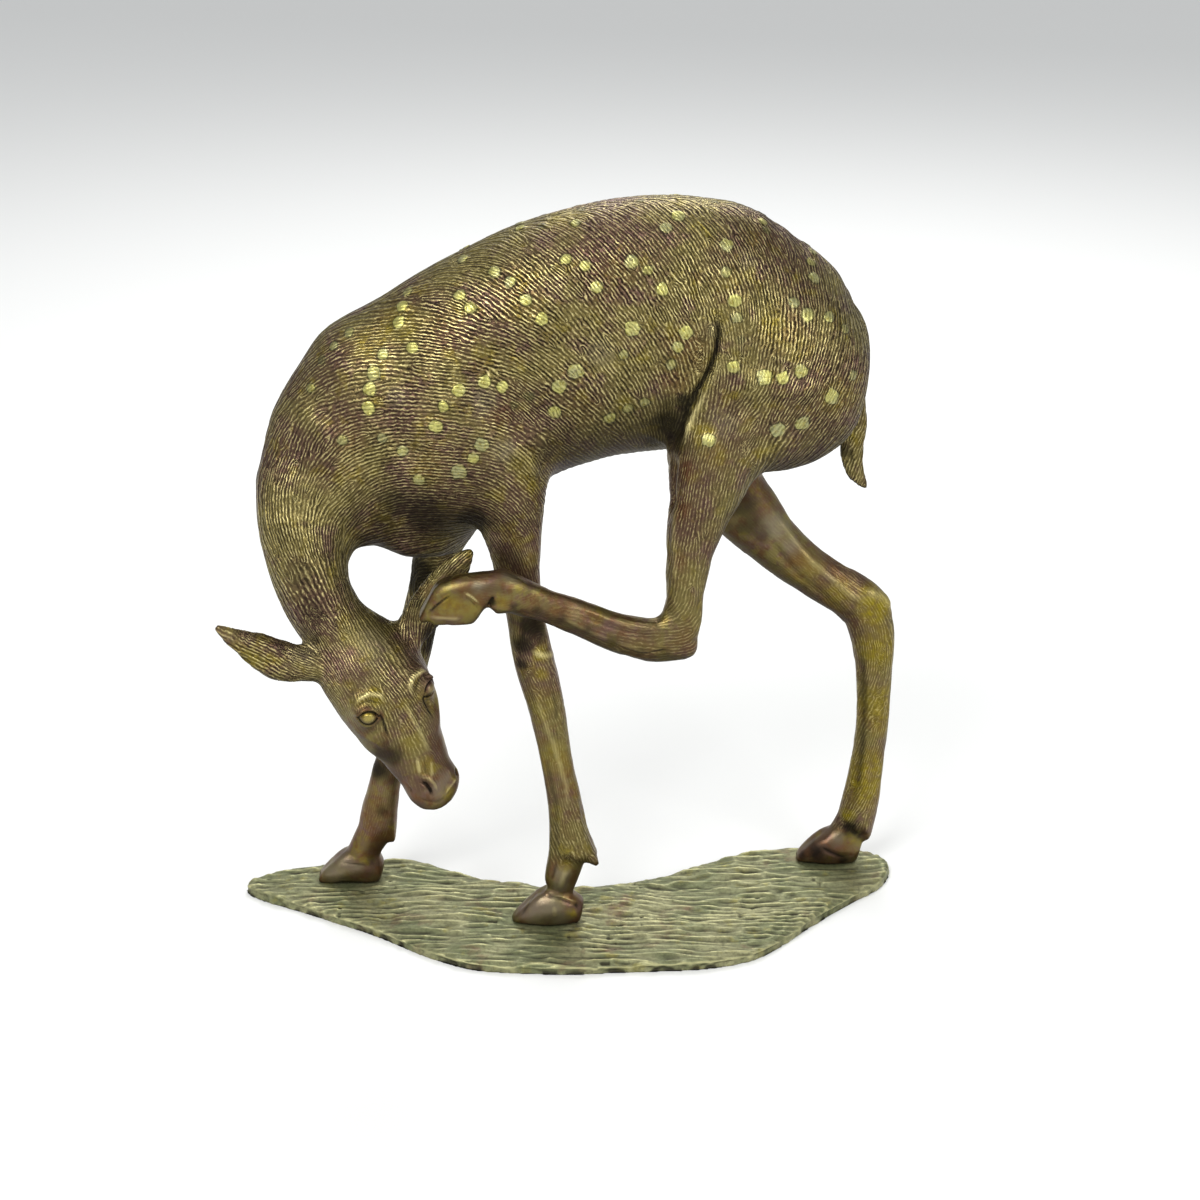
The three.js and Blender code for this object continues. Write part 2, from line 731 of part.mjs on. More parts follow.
// Head, ears and hooves keep finer triangles than the body.
function detailWeight(x, y, z) {
  const head = smoothstep(160, 90, EYE_LEVEL.distanceTo(vec(x, y, z)));
  const hooves = Math.max(
    ...HOOVES.map(({ coronet }) => smoothstep(70, 40, coronet.distanceTo(vec(x, y, z)))),
  );
  return 1 + 5 * head + 2 * hooves;
}

// Height of the plate's top: low swells that run along it, level under each standing hoof.
function plateTop(x, y) {
  const ripple = 1.5 * Math.sin(y / 9 + 1.5 * Math.sin(x / 55));
  const swell = ripple + 1.2 * Math.sin(x / 31 + y / 40);
  let free = 1;
  for (const { coronet, raised } of HOOVES) {
    const away = Math.hypot(x - coronet.x + 12, y - coronet.y);
    if (!raised) free = Math.min(free, smoothstep(62, 95, away));
  }
  return PAD_HEIGHT + swell * free;
}

// The plate as a grid between its front and back edges, with rounded ends and a bevelled rim.
function groundPlate() {
  const lengthSteps = 56;
  const widthSteps = 12;
  const endRound = 24;
  const edgeAt = (edge, share) => {
    const curve = new THREE.SplineCurve(edge.map((y, i) => new THREE.Vector2(i, y)));
    return curve.getPoint(share).y;
  };
  const positions = [];
  const indices = [];
  const half = PLATE_LENGTH / 2;
  const column = (i) => {
    const x = -half * Math.cos((Math.PI * i) / lengthSteps);
    const share = (x + half) / PLATE_LENGTH;
    const [front, back] = [edgeAt(FRONT_EDGE, share), edgeAt(BACK_EDGE, share)];
    const into = Math.min((half - Math.abs(x)) / endRound, 1);
    const open = Math.sqrt(1 - (1 - into) ** 2);
    const middle = (front + back) / 2;
    const reach = (open * (back - front)) / 2;
    return { x, front: middle - reach, back: middle + reach };
  };
  const columns = Array.from({ length: lengthSteps + 1 }, (_, i) => column(i));
  const add = (x, y, z) => positions.push(x, y, z) / 3 - 1;
  const quad = (a, b, c, d) => indices.push(a, b, c, a, c, d);
  const inset = (share) => mix(0.03, 0.97, share);
  const top = columns.map(({ x, front, back }) =>
    Array.from({ length: widthSteps + 1 }, (_, j) => {
      const y = mix(front, back, inset(j / widthSteps));
      return add(x * 0.99, y, plateTop(x, y));
    }),
  );
  const rims = [PLATE_RIM, 0].map((z) =>
    columns.map(({ x, front, back }) => [add(x, front, z), add(x, back, z)]),
  );
  const [upper, lower] = rims;
  for (let i = 0; i < lengthSteps; i++) {
    for (let j = 0; j < widthSteps; j++) {
      quad(top[i][j], top[i + 1][j], top[i + 1][j + 1], top[i][j + 1]);
    }
    quad(upper[i][0], upper[i + 1][0], top[i + 1][0], top[i][0]);
    quad(top[i][widthSteps], top[i + 1][widthSteps], upper[i + 1][1], upper[i][1]);
    quad(lower[i][0], lower[i + 1][0], upper[i + 1][0], upper[i][0]);
    quad(upper[i][1], upper[i + 1][1], lower[i + 1][1], lower[i][1]);
    quad(lower[i][1], lower[i + 1][1], lower[i + 1][0], lower[i][0]);
  }
  const first = top[0];
  const last = top[lengthSteps];
  for (let j = 0; j < widthSteps; j++) {
    indices.push(first[j], first[j + 1], upper[0][0]);
    indices.push(last[j + 1], last[j], upper[lengthSteps][0]);
  }
  const geometry = new THREE.BufferGeometry();
  geometry.setAttribute("position", new THREE.Float32BufferAttribute(positions, 3));
  geometry.setIndex(indices);
  return geometry;
}

// Closed meshes as solids, to cut one by another.
const wasm = await Module();
wasm.setup();

function solidFrom(geometry) {
  const bare = geometry.clone();
  bare.deleteAttribute("normal");
  bare.deleteAttribute("uv");
  const merged = mergeVertices(bare, 1e-3);
  return new wasm.Manifold(
    new wasm.Mesh({
      numProp: 3,
      vertProperties: Float32Array.from(merged.attributes.position.array),
      triVerts: Uint32Array.from(merged.index.array),
    }),
  );
}

function geometryFrom(solid) {
  const { vertProperties, triVerts } = solid.getMesh();
  const geometry = new THREE.BufferGeometry();
  geometry.setAttribute("position", new THREE.BufferAttribute(vertProperties, 3));
  geometry.setIndex(new THREE.BufferAttribute(triVerts, 1));
  geometry.computeVertexNormals();
  return geometry;
}

// Everything below each sole is cut away, with a small block of its own for the raised hoof.
const raisedHoof = HOOVES.find((hoof) => hoof.raised);
const { x: raisedX, y: raisedY, z: raisedZ } = raisedHoof.coronet;
const raisedSole = raisedZ - raisedHoof.size * raisedHoof.tall * HOOF_HEIGHT;
const belowSoles = [
  new THREE.BoxGeometry(900, 500, 100).translate(0, 0, SOLE_HEIGHT - 50),
  new THREE.BoxGeometry(82, 48, 24).translate(raisedX - 10, raisedY, raisedSole - 12),
];
const skin = new Skin(sculptDeer(), detailWeight).simplify(DEER_TRIANGLES);
const cut = belowSoles.reduce((solid, block) => solid.subtract(solidFrom(block)), solidFrom(skin));
const deerGeometry = geometryFrom(cut);
const plateGeometry = geometryFrom(solidFrom(groundPlate()));

const bronze = new THREE.MeshStandardMaterial({ color: 0x6b5a34, metalness: 0.9, roughness: 0.45 });
const weathered = new THREE.MeshStandardMaterial({ color: 0x6f705a, metalness: 0.7, roughness: 0.7 });

const deer = new THREE.Mesh(deerGeometry, bronze);
deer.name = "deer";
const plate = new THREE.Mesh(plateGeometry, weathered);
plate.name = "ground_plate";

const sculpture = new THREE.Group();
sculpture.add(deer, plate);
export default sculpture;
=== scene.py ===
"""Looks of a bronze fawn that scratches its ear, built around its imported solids.

Metres, +Z up, head towards -X, the raised hind leg towards -Y, underside of the plate at Z = 0.
Places marked px are pixels of the 1200 x 1200 photograph and are cast onto the surface from its viewpoint.
"""

import logging
import math
from dataclasses import dataclass, field
from enum import Enum

import bpy
import numpy as np
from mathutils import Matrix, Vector
from mathutils.kdtree import KDTree


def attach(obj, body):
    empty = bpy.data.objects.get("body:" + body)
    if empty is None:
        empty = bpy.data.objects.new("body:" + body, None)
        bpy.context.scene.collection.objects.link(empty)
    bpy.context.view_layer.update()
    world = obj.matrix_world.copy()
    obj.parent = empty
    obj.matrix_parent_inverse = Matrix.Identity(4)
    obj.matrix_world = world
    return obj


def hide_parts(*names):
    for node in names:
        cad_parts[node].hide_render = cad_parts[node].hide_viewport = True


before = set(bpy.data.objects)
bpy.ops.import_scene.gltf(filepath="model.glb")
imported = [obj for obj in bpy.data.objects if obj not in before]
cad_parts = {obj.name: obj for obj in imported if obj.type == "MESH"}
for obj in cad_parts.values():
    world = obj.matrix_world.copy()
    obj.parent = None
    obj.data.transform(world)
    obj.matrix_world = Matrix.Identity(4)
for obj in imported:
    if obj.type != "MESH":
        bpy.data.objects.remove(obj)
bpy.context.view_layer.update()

LOG = logging.getLogger("bronze_fawn")
MM = 0.001
METRE = 1000.0  # in mm, so that METRE / size is a pattern's scale
TURN = 2 * math.pi
PHOTO_SIZE = 1200.0  # pixels
MIDLINE_Y = 0.022  # plane that the far side is mirrored across
RAISED_HOOF = (-0.116, -0.091, 0.392)
# Large odd numbers that scatter the cells of the noise.
HASH_AXES = np.array([73856093, 19349663, 83492791])
HASH_SEED, HASH_FIRST, HASH_SECOND, HASH_MASK = 2654435761, 1274126177, 2246822519, 0xFFFFFFFF
# Each planted hoof: the middle of its sole, and the height up to which the foot is bare of hair.
HOOVES = ((-0.026, -0.038, 0.082), (-0.243, 0.050, 0.064), (0.281, 0.094, 0.050))

# Fur on the body: pixel, direction of the hair in degrees clockwise from the picture's right, depth
# from 0 for none to 0.6 for the deepest.
BODY_FUR = (
    # neck
    (300, 628, -132, 0.5), (330, 612, -120, 0.5), (355, 612, -112, 0.5), (306, 584, -130, 0.55),
    (334, 584, -98, 0.55), (278, 528, -124, 0.55), (293, 500, -92, 0.55), (275, 480, -100, 0.55),
    (334, 528, -70, 0.5), (306, 458, -55, 0.55), (285, 444, -60, 0.5), (348, 486, -42, 0.5),
    (355, 462, -15, 0.5), (300, 400, -42, 0.5), (322, 360, -32, 0.45), (262, 560, -118, 0.5),
    # withers and shoulder
    (350, 330, -15, 0.5), (380, 300, -5, 0.5), (420, 275, 8, 0.5), (380, 350, 0, 0.55), (360, 410, -8, 0.55),
    (430, 350, 6, 0.6), (400, 430, 2, 0.6), (450, 430, 6, 0.6), (470, 370, 12, 0.6), (440, 470, 8, 0.6),
    (470, 430, 8, 0.45), (400, 510, 0, 0.5), (450, 530, 2, 0.5), (495, 500, 20, 0.45), (370, 520, -20, 0.45),
    # back and ribs
    (460, 255, 20, 0.5), (480, 300, 26, 0.6), (500, 270, 36, 0.6), (540, 225, 40, 0.5), (520, 330, 30, 0.6),
    (560, 300, 42, 0.6), (500, 385, 24, 0.6), (540, 380, 35, 0.6), (560, 420, 38, 0.6), (535, 450, 40, 0.5),
    (590, 250, 46, 0.6), (620, 215, 46, 0.5), (600, 330, 48, 0.6), (600, 390, 50, 0.6), (630, 420, 56, 0.55),
    (640, 280, 54, 0.6), (660, 340, 56, 0.6), (655, 395, 66, 0.5), (690, 280, 58, 0.6), (700, 230, 55, 0.55),
    (690, 350, 64, 0.5), (580, 455, 44, 0.3), (650, 445, 70, 0.25),
    # loin, rump and haunch
    (730, 290, 72, 0.6), (735, 350, 84, 0.5), (760, 240, 62, 0.55), (780, 310, 90, 0.6), (775, 350, 92, 0.55),
    (820, 260, 66, 0.5), (820, 330, 94, 0.6), (845, 350, 104, 0.6), (870, 330, 92, 0.5),
    (730, 385, 118, 0.55), (700, 400, 122, 0.5), (790, 400, 126, 0.55), (830, 400, 118, 0.6),
    (860, 400, 110, 0.5), (740, 430, 116, 0.45), (790, 445, 126, 0.45), (840, 450, 124, 0.4),
    (720, 460, 108, 0.45), (765, 475, 114, 0.35), (690, 450, 98, 0.3),
)
# Fur on the limbs, with the hair running down each leg and out along the tail and ears.
LIMB_FUR = (
    (515, 480, 40, 0.45), (540, 490, 62, 0.5), (505, 530, 58, 0.4), (525, 545, 60, 0.35),
    (545, 560, 84, 0.35), (520, 570, 62, 0.3), (528, 610, 86, 0.1), (533, 690, 58, 0.35),
    (545, 700, 70, 0.25), (548, 740, 76, 0.16), (560, 800, 82, 0.12), (572, 830, 62, 0.35),
    (582, 850, 60, 0.3), (400, 560, 95, 0.2), (390, 700, 100, 0.1), (376, 790, 98, 0.1), (365, 840, 105, 0.1),
    (705, 500, 102, 0.4), (725, 500, 108, 0.4), (690, 550, 94, 0.35), (705, 560, 96, 0.3),
    (690, 610, 92, 0.3), (665, 645, -176, 0.3), (665, 632, -176, 0.16), (474, 583, -170, 0.0),
    (486, 590, -170, 0.0), (478, 598, -170, 0.0), (620, 625, -164, 0.05), (618, 645, -158, 0.25),
    (575, 603, -160, 0.04), (572, 620, -160, 0.12), (535, 590, -160, 0.04), (505, 575, -170, 0.04),
    (760, 520, 45, 0.05), (800, 555, 42, 0.1), (850, 600, 52, 0.2), (880, 640, 80, 0.3),
    (886, 700, 100, 0.25), (868, 700, 120, 0.3), (876, 780, 104, 0.25), (860, 780, 128, 0.35),
    (856, 805, 130, 0.35), (870, 825, 102, 0.3), (872, 430, 96, 0.5), (874, 465, 84, 0.5),
    (884, 485, 60, 0.4), (218, 630, -152, 0.3), (240, 648, -154, 0.6), (262, 656, -155, 0.6),
    (284, 664, -158, 0.6), (302, 672, -160, 0.5), (412, 620, -58, 0.5), (428, 600, -56, 0.6),
    (442, 582, -55, 0.6), (456, 568, -54, 0.6), (468, 554, -52, 0.5),
)
# Fur on the face, from nose to poll.
FACE_FUR = (
    (432, 760, -128, 0.25), (448, 765, -140, 0.2), (420, 745, -112, 0.35), (405, 725, -92, 0.4),
    (417, 722, -122, 0.5), (394, 705, -95, 0.5), (406, 700, -124, 0.55), (390, 680, -116, 0.6),
    (380, 664, -84, 0.6), (353, 668, -94, 0.6), (333, 666, -122, 0.6), (324, 684, -135, 0.5),
    (312, 668, -150, 0.4), (412, 675, -120, 0.35), (400, 655, -110, 0.4), (365, 700, -96, 0.25),
    (345, 705, -120, 0.25), (340, 724, -130, 0.04), (350, 740, -130, 0.02), (366, 748, -128, 0.02),
    (385, 764, -125, 0.0), (380, 745, -118, 0.04), (395, 748, -105, 0.12), (400, 772, -120, 0.0),
    (410, 785, -120, 0.0), (425, 798, -120, 0.0), (440, 790, -120, 0.0), (452, 778, -125, 0.0),
    (425, 770, -115, 0.04), (436, 762, -125, 0.12), (370, 645, -110, 0.08), (392, 648, -110, 0.1),
    (350, 650, -110, 0.2), (437, 745, -128, 0.2), (362, 728, -120, 0.03), (385, 722, -95, 0.3),
)
# Raised spots of the coat: pixel and radius in mm.
SPOTS = (
    (576, 223, 5), (520, 228, 5), (542, 226, 4), (472, 242, 4.5), (463, 259, 5.5), (566, 259, 5.5),
    (585, 266, 5.5), (495, 272, 6), (510, 282, 5.5), (526, 300, 6), (597, 287, 6), (460, 295, 6),
    (470, 308, 6), (542, 319, 6), (408, 292, 5), (402, 306, 6), (399, 322, 6.5), (349, 333, 5), (334, 346, 5),
    (322, 360, 4.5), (383, 354, 6), (413, 348, 6), (374, 373, 6.5), (370, 389, 6.5), (369, 408, 6.5),
    (459, 390, 6), (444, 406, 5.5), (436, 426, 6.5), (484, 382, 6), (502, 387, 6), (515, 406, 4),
    (530, 397, 4.5), (559, 386, 7), (576, 371, 7.5), (555, 412, 6.5), (482, 444, 6.5), (473, 457, 5.5),
    (459, 472, 7.5), (419, 480, 6), (402, 452, 5.5), (382, 438, 5), (343, 440, 5), (311, 388, 5),
    (582, 209, 4), (641, 201, 4), (678, 216, 6.5), (666, 228, 5.5), (715, 202, 4), (726, 245, 6),
    (763, 222, 5), (766, 230, 4.5), (813, 252, 5), (811, 262, 5), (814, 278, 5.5), (632, 262, 6.5),
    (648, 270, 5), (726, 272, 5), (662, 289, 6), (734, 301, 6.5), (632, 329, 7.5), (686, 332, 6.5),
    (678, 347, 5.5), (794, 303, 5.5), (808, 315, 6.5), (829, 317, 5.5), (737, 318, 5), (741, 340, 4),
    (671, 364, 5), (624, 355, 5), (733, 367, 6), (764, 377, 7.5), (783, 378, 6), (801, 371, 6.5),
    (832, 396, 7.5), (802, 423, 7), (778, 430, 7), (610, 418, 6), (628, 408, 5), (645, 402, 5),
    (709, 440, 6.5), (853, 375, 5), (845, 329, 5),
)


class Tint(Enum):
    """A stain of the patina, stored as one mesh attribute each; the dark one is painted shade."""

    DARK = "dark"
    GOLD = "gold"
    RUST = "rust"
    PALE = "pale"


# Stains of the patina, and patches of painted shade: pixel, radius in mm and strength.
STAINS = {
    # painted shade under the chest and belly, between the legs and in other places that lie in shade
    Tint.DARK: (
        (430, 515, 34, 0.9), (470, 520, 26, 1.0), (395, 505, 24, 0.8), (385, 525, 18, 0.7),
        (670, 428, 25, 1.0), (666, 402, 13, 0.6), (684, 400, 11, 1.0), (655, 442, 20, 0.9),
        (630, 445, 22, 0.7), (590, 446, 26, 0.6), (550, 447, 18, 0.55), (418, 571, 26, 1.0),
        (414, 584, 18, 1.0), (432, 640, 20, 1.0), (431, 632, 14, 0.9), (530, 626, 20, 1.0),
        (522, 645, 13, 1.0), (521, 664, 8, 0.9), (385, 755, 20, 0.9), (392, 780, 12, 0.6),
        (740, 505, 22, 0.8), (748, 525, 18, 0.7), (762, 535, 12, 0.6), (845, 450, 10, 0.8),
        (841, 475, 8, 0.7), (850, 828, 12, 1.0), (860, 835, 7, 0.9), (816, 853, 13, 1.0), (802, 855, 8, 0.9),
        (843, 861, 8, 1.0), (576, 905, 4, 1.0), (300, 575, 16, 0.4), (310, 610, 16, 0.45),
        (280, 530, 12, 0.35), (400, 610, 9, 0.5), (419, 604, 8, 0.6), (315, 640, 8, 0.4), (718, 640, 16, 0.3),
        (664, 657, 12, 0.7), (640, 653, 11, 0.7), (612, 643, 11, 0.75), (586, 632, 10, 0.75),
        (560, 621, 9, 0.75), (536, 611, 7, 0.75), (514, 607, 6, 0.8), (492, 603, 5, 1.0),
        (440, 586, 12, 0.15), (556, 735, 7, 0.3), (676, 430, 15, 1.0), (683, 412, 9, 1.0),
        (664, 436, 16, 1.0), (610, 452, 20, 0.7), (575, 458, 16, 0.6), (350, 548, 14, 0.4),
        (372, 860, 7, 0.7), (346, 880, 9, 0.5), (383, 812, 8, 0.7), (378, 770, 16, 1.0), (400, 668, 5, 0.2),
    ),
    # rubbed and golden bronze
    Tint.GOLD: (
        (875, 605, 24, 1.0), (880, 650, 28, 0.85), (884, 710, 32, 0.8), (868, 780, 34, 0.9),
        (840, 595, 22, 0.6), (805, 575, 20, 0.4), (691, 426, 6, 1.0), (704, 434, 12, 0.8),
        (716, 455, 16, 0.4), (525, 458, 14, 0.6), (527, 480, 14, 0.4), (396, 322, 26, 0.55),
        (370, 345, 22, 0.35), (215, 626, 13, 0.9), (240, 652, 9, 0.6), (472, 552, 8, 0.7), (376, 696, 9, 0.9),
        (362, 700, 6, 0.7), (369, 716, 6, 1.0), (425, 766, 11, 0.5), (413, 740, 14, 0.35), (436, 700, 6, 0.5),
        (452, 608, 14, 0.55), (470, 612, 12, 0.4), (503, 603, 8, 0.5), (541, 654, 9, 1.0), (541, 675, 9, 0.7),
        (519, 545, 10, 0.3), (848, 815, 10, 1.0), (572, 914, 5, 0.8), (830, 861, 4, 0.8), (566, 866, 8, 0.6),
        (450, 793, 8, 0.8), (448, 600, 8, 0.5), (530, 560, 12, 0.4), (546, 480, 10, 0.4), (540, 700, 20, 0.4),
        (552, 760, 26, 0.4), (866, 478, 12, 0.8), (857, 440, 10, 0.5), (850, 400, 12, 0.4),
        (780, 330, 26, 0.35), (835, 395, 22, 0.4), (730, 290, 20, 0.3), (430, 470, 22, 0.3),
        (565, 215, 26, 0.35), (500, 230, 22, 0.3), (520, 300, 26, 0.3),
    ),
    # red and orange brown
    Tint.RUST: (
        (683, 470, 12, 0.9), (681, 510, 12, 0.8), (678, 560, 12, 0.6), (500, 412, 13, 0.6),
        (690, 350, 22, 0.45), (675, 380, 20, 0.5), (553, 868, 6, 0.9), (547, 882, 6, 0.8), (573, 880, 6, 0.8),
        (570, 898, 6, 0.6), (468, 592, 9, 0.6), (484, 598, 10, 0.35), (530, 605, 12, 0.4),
        (372, 810, 20, 0.5), (376, 840, 14, 0.5), (843, 846, 10, 0.5), (461, 590, 6, 0.8),
        (798, 558, 14, 0.7), (765, 510, 12, 0.4), (640, 655, 22, 0.4), (690, 640, 18, 0.3),
        (560, 612, 16, 0.4), (424, 590, 10, 0.4), (350, 440, 20, 0.3), (460, 240, 22, 0.3),
        (440, 330, 24, 0.3), (610, 280, 26, 0.25), (760, 230, 24, 0.3), (580, 410, 24, 0.25),
    ),
    # greyed bronze
    Tint.PALE: (
        (485, 402, 15, 0.5), (505, 450, 13, 0.5), (600, 352, 18, 0.35), (775, 525, 18, 0.8),
        (790, 545, 10, 0.7), (375, 645, 20, 0.3), (395, 398, 13, 0.35), (440, 790, 12, 0.5),
        (445, 778, 8, 0.5), (345, 862, 12, 0.6), (300, 645, 22, 0.35), (562, 874, 9, 0.9), (560, 886, 9, 0.9),
        (548, 910, 18, 0.8), (535, 915, 16, 0.8), (560, 918, 12, 0.9), (838, 838, 8, 0.6),
        (335, 876, 14, 0.8), (356, 870, 10, 0.6), (478, 586, 6, 0.9), (508, 574, 12, 0.5),
        (720, 425, 16, 0.3), (748, 262, 10, 0.3), (715, 330, 10, 0.3),
    ),
}


class Side(Enum):
    """Where a chased line is repeated."""

    SEEN = "on the seen side only"
    FACE = "mirrored across the face"
    BODY = "mirrored across the body"


@dataclass(frozen=True)
class ChasedLine:
    """A line pressed into the wax or laid on it.

    Args:
        name: What the line is on the animal.
        path: Its points, as pixels.
        width: Half width in mm.
        rise: Height in mm, negative for a groove.
        tone: From -1 for a line of painted shade and dark patina to 1 for one of painted highlight and rubbed
            bronze.
        side: Where it is repeated.
    """

    name: str
    path: tuple
    width: float
    rise: float
    tone: float = 0.0
    side: Side = Side.SEEN


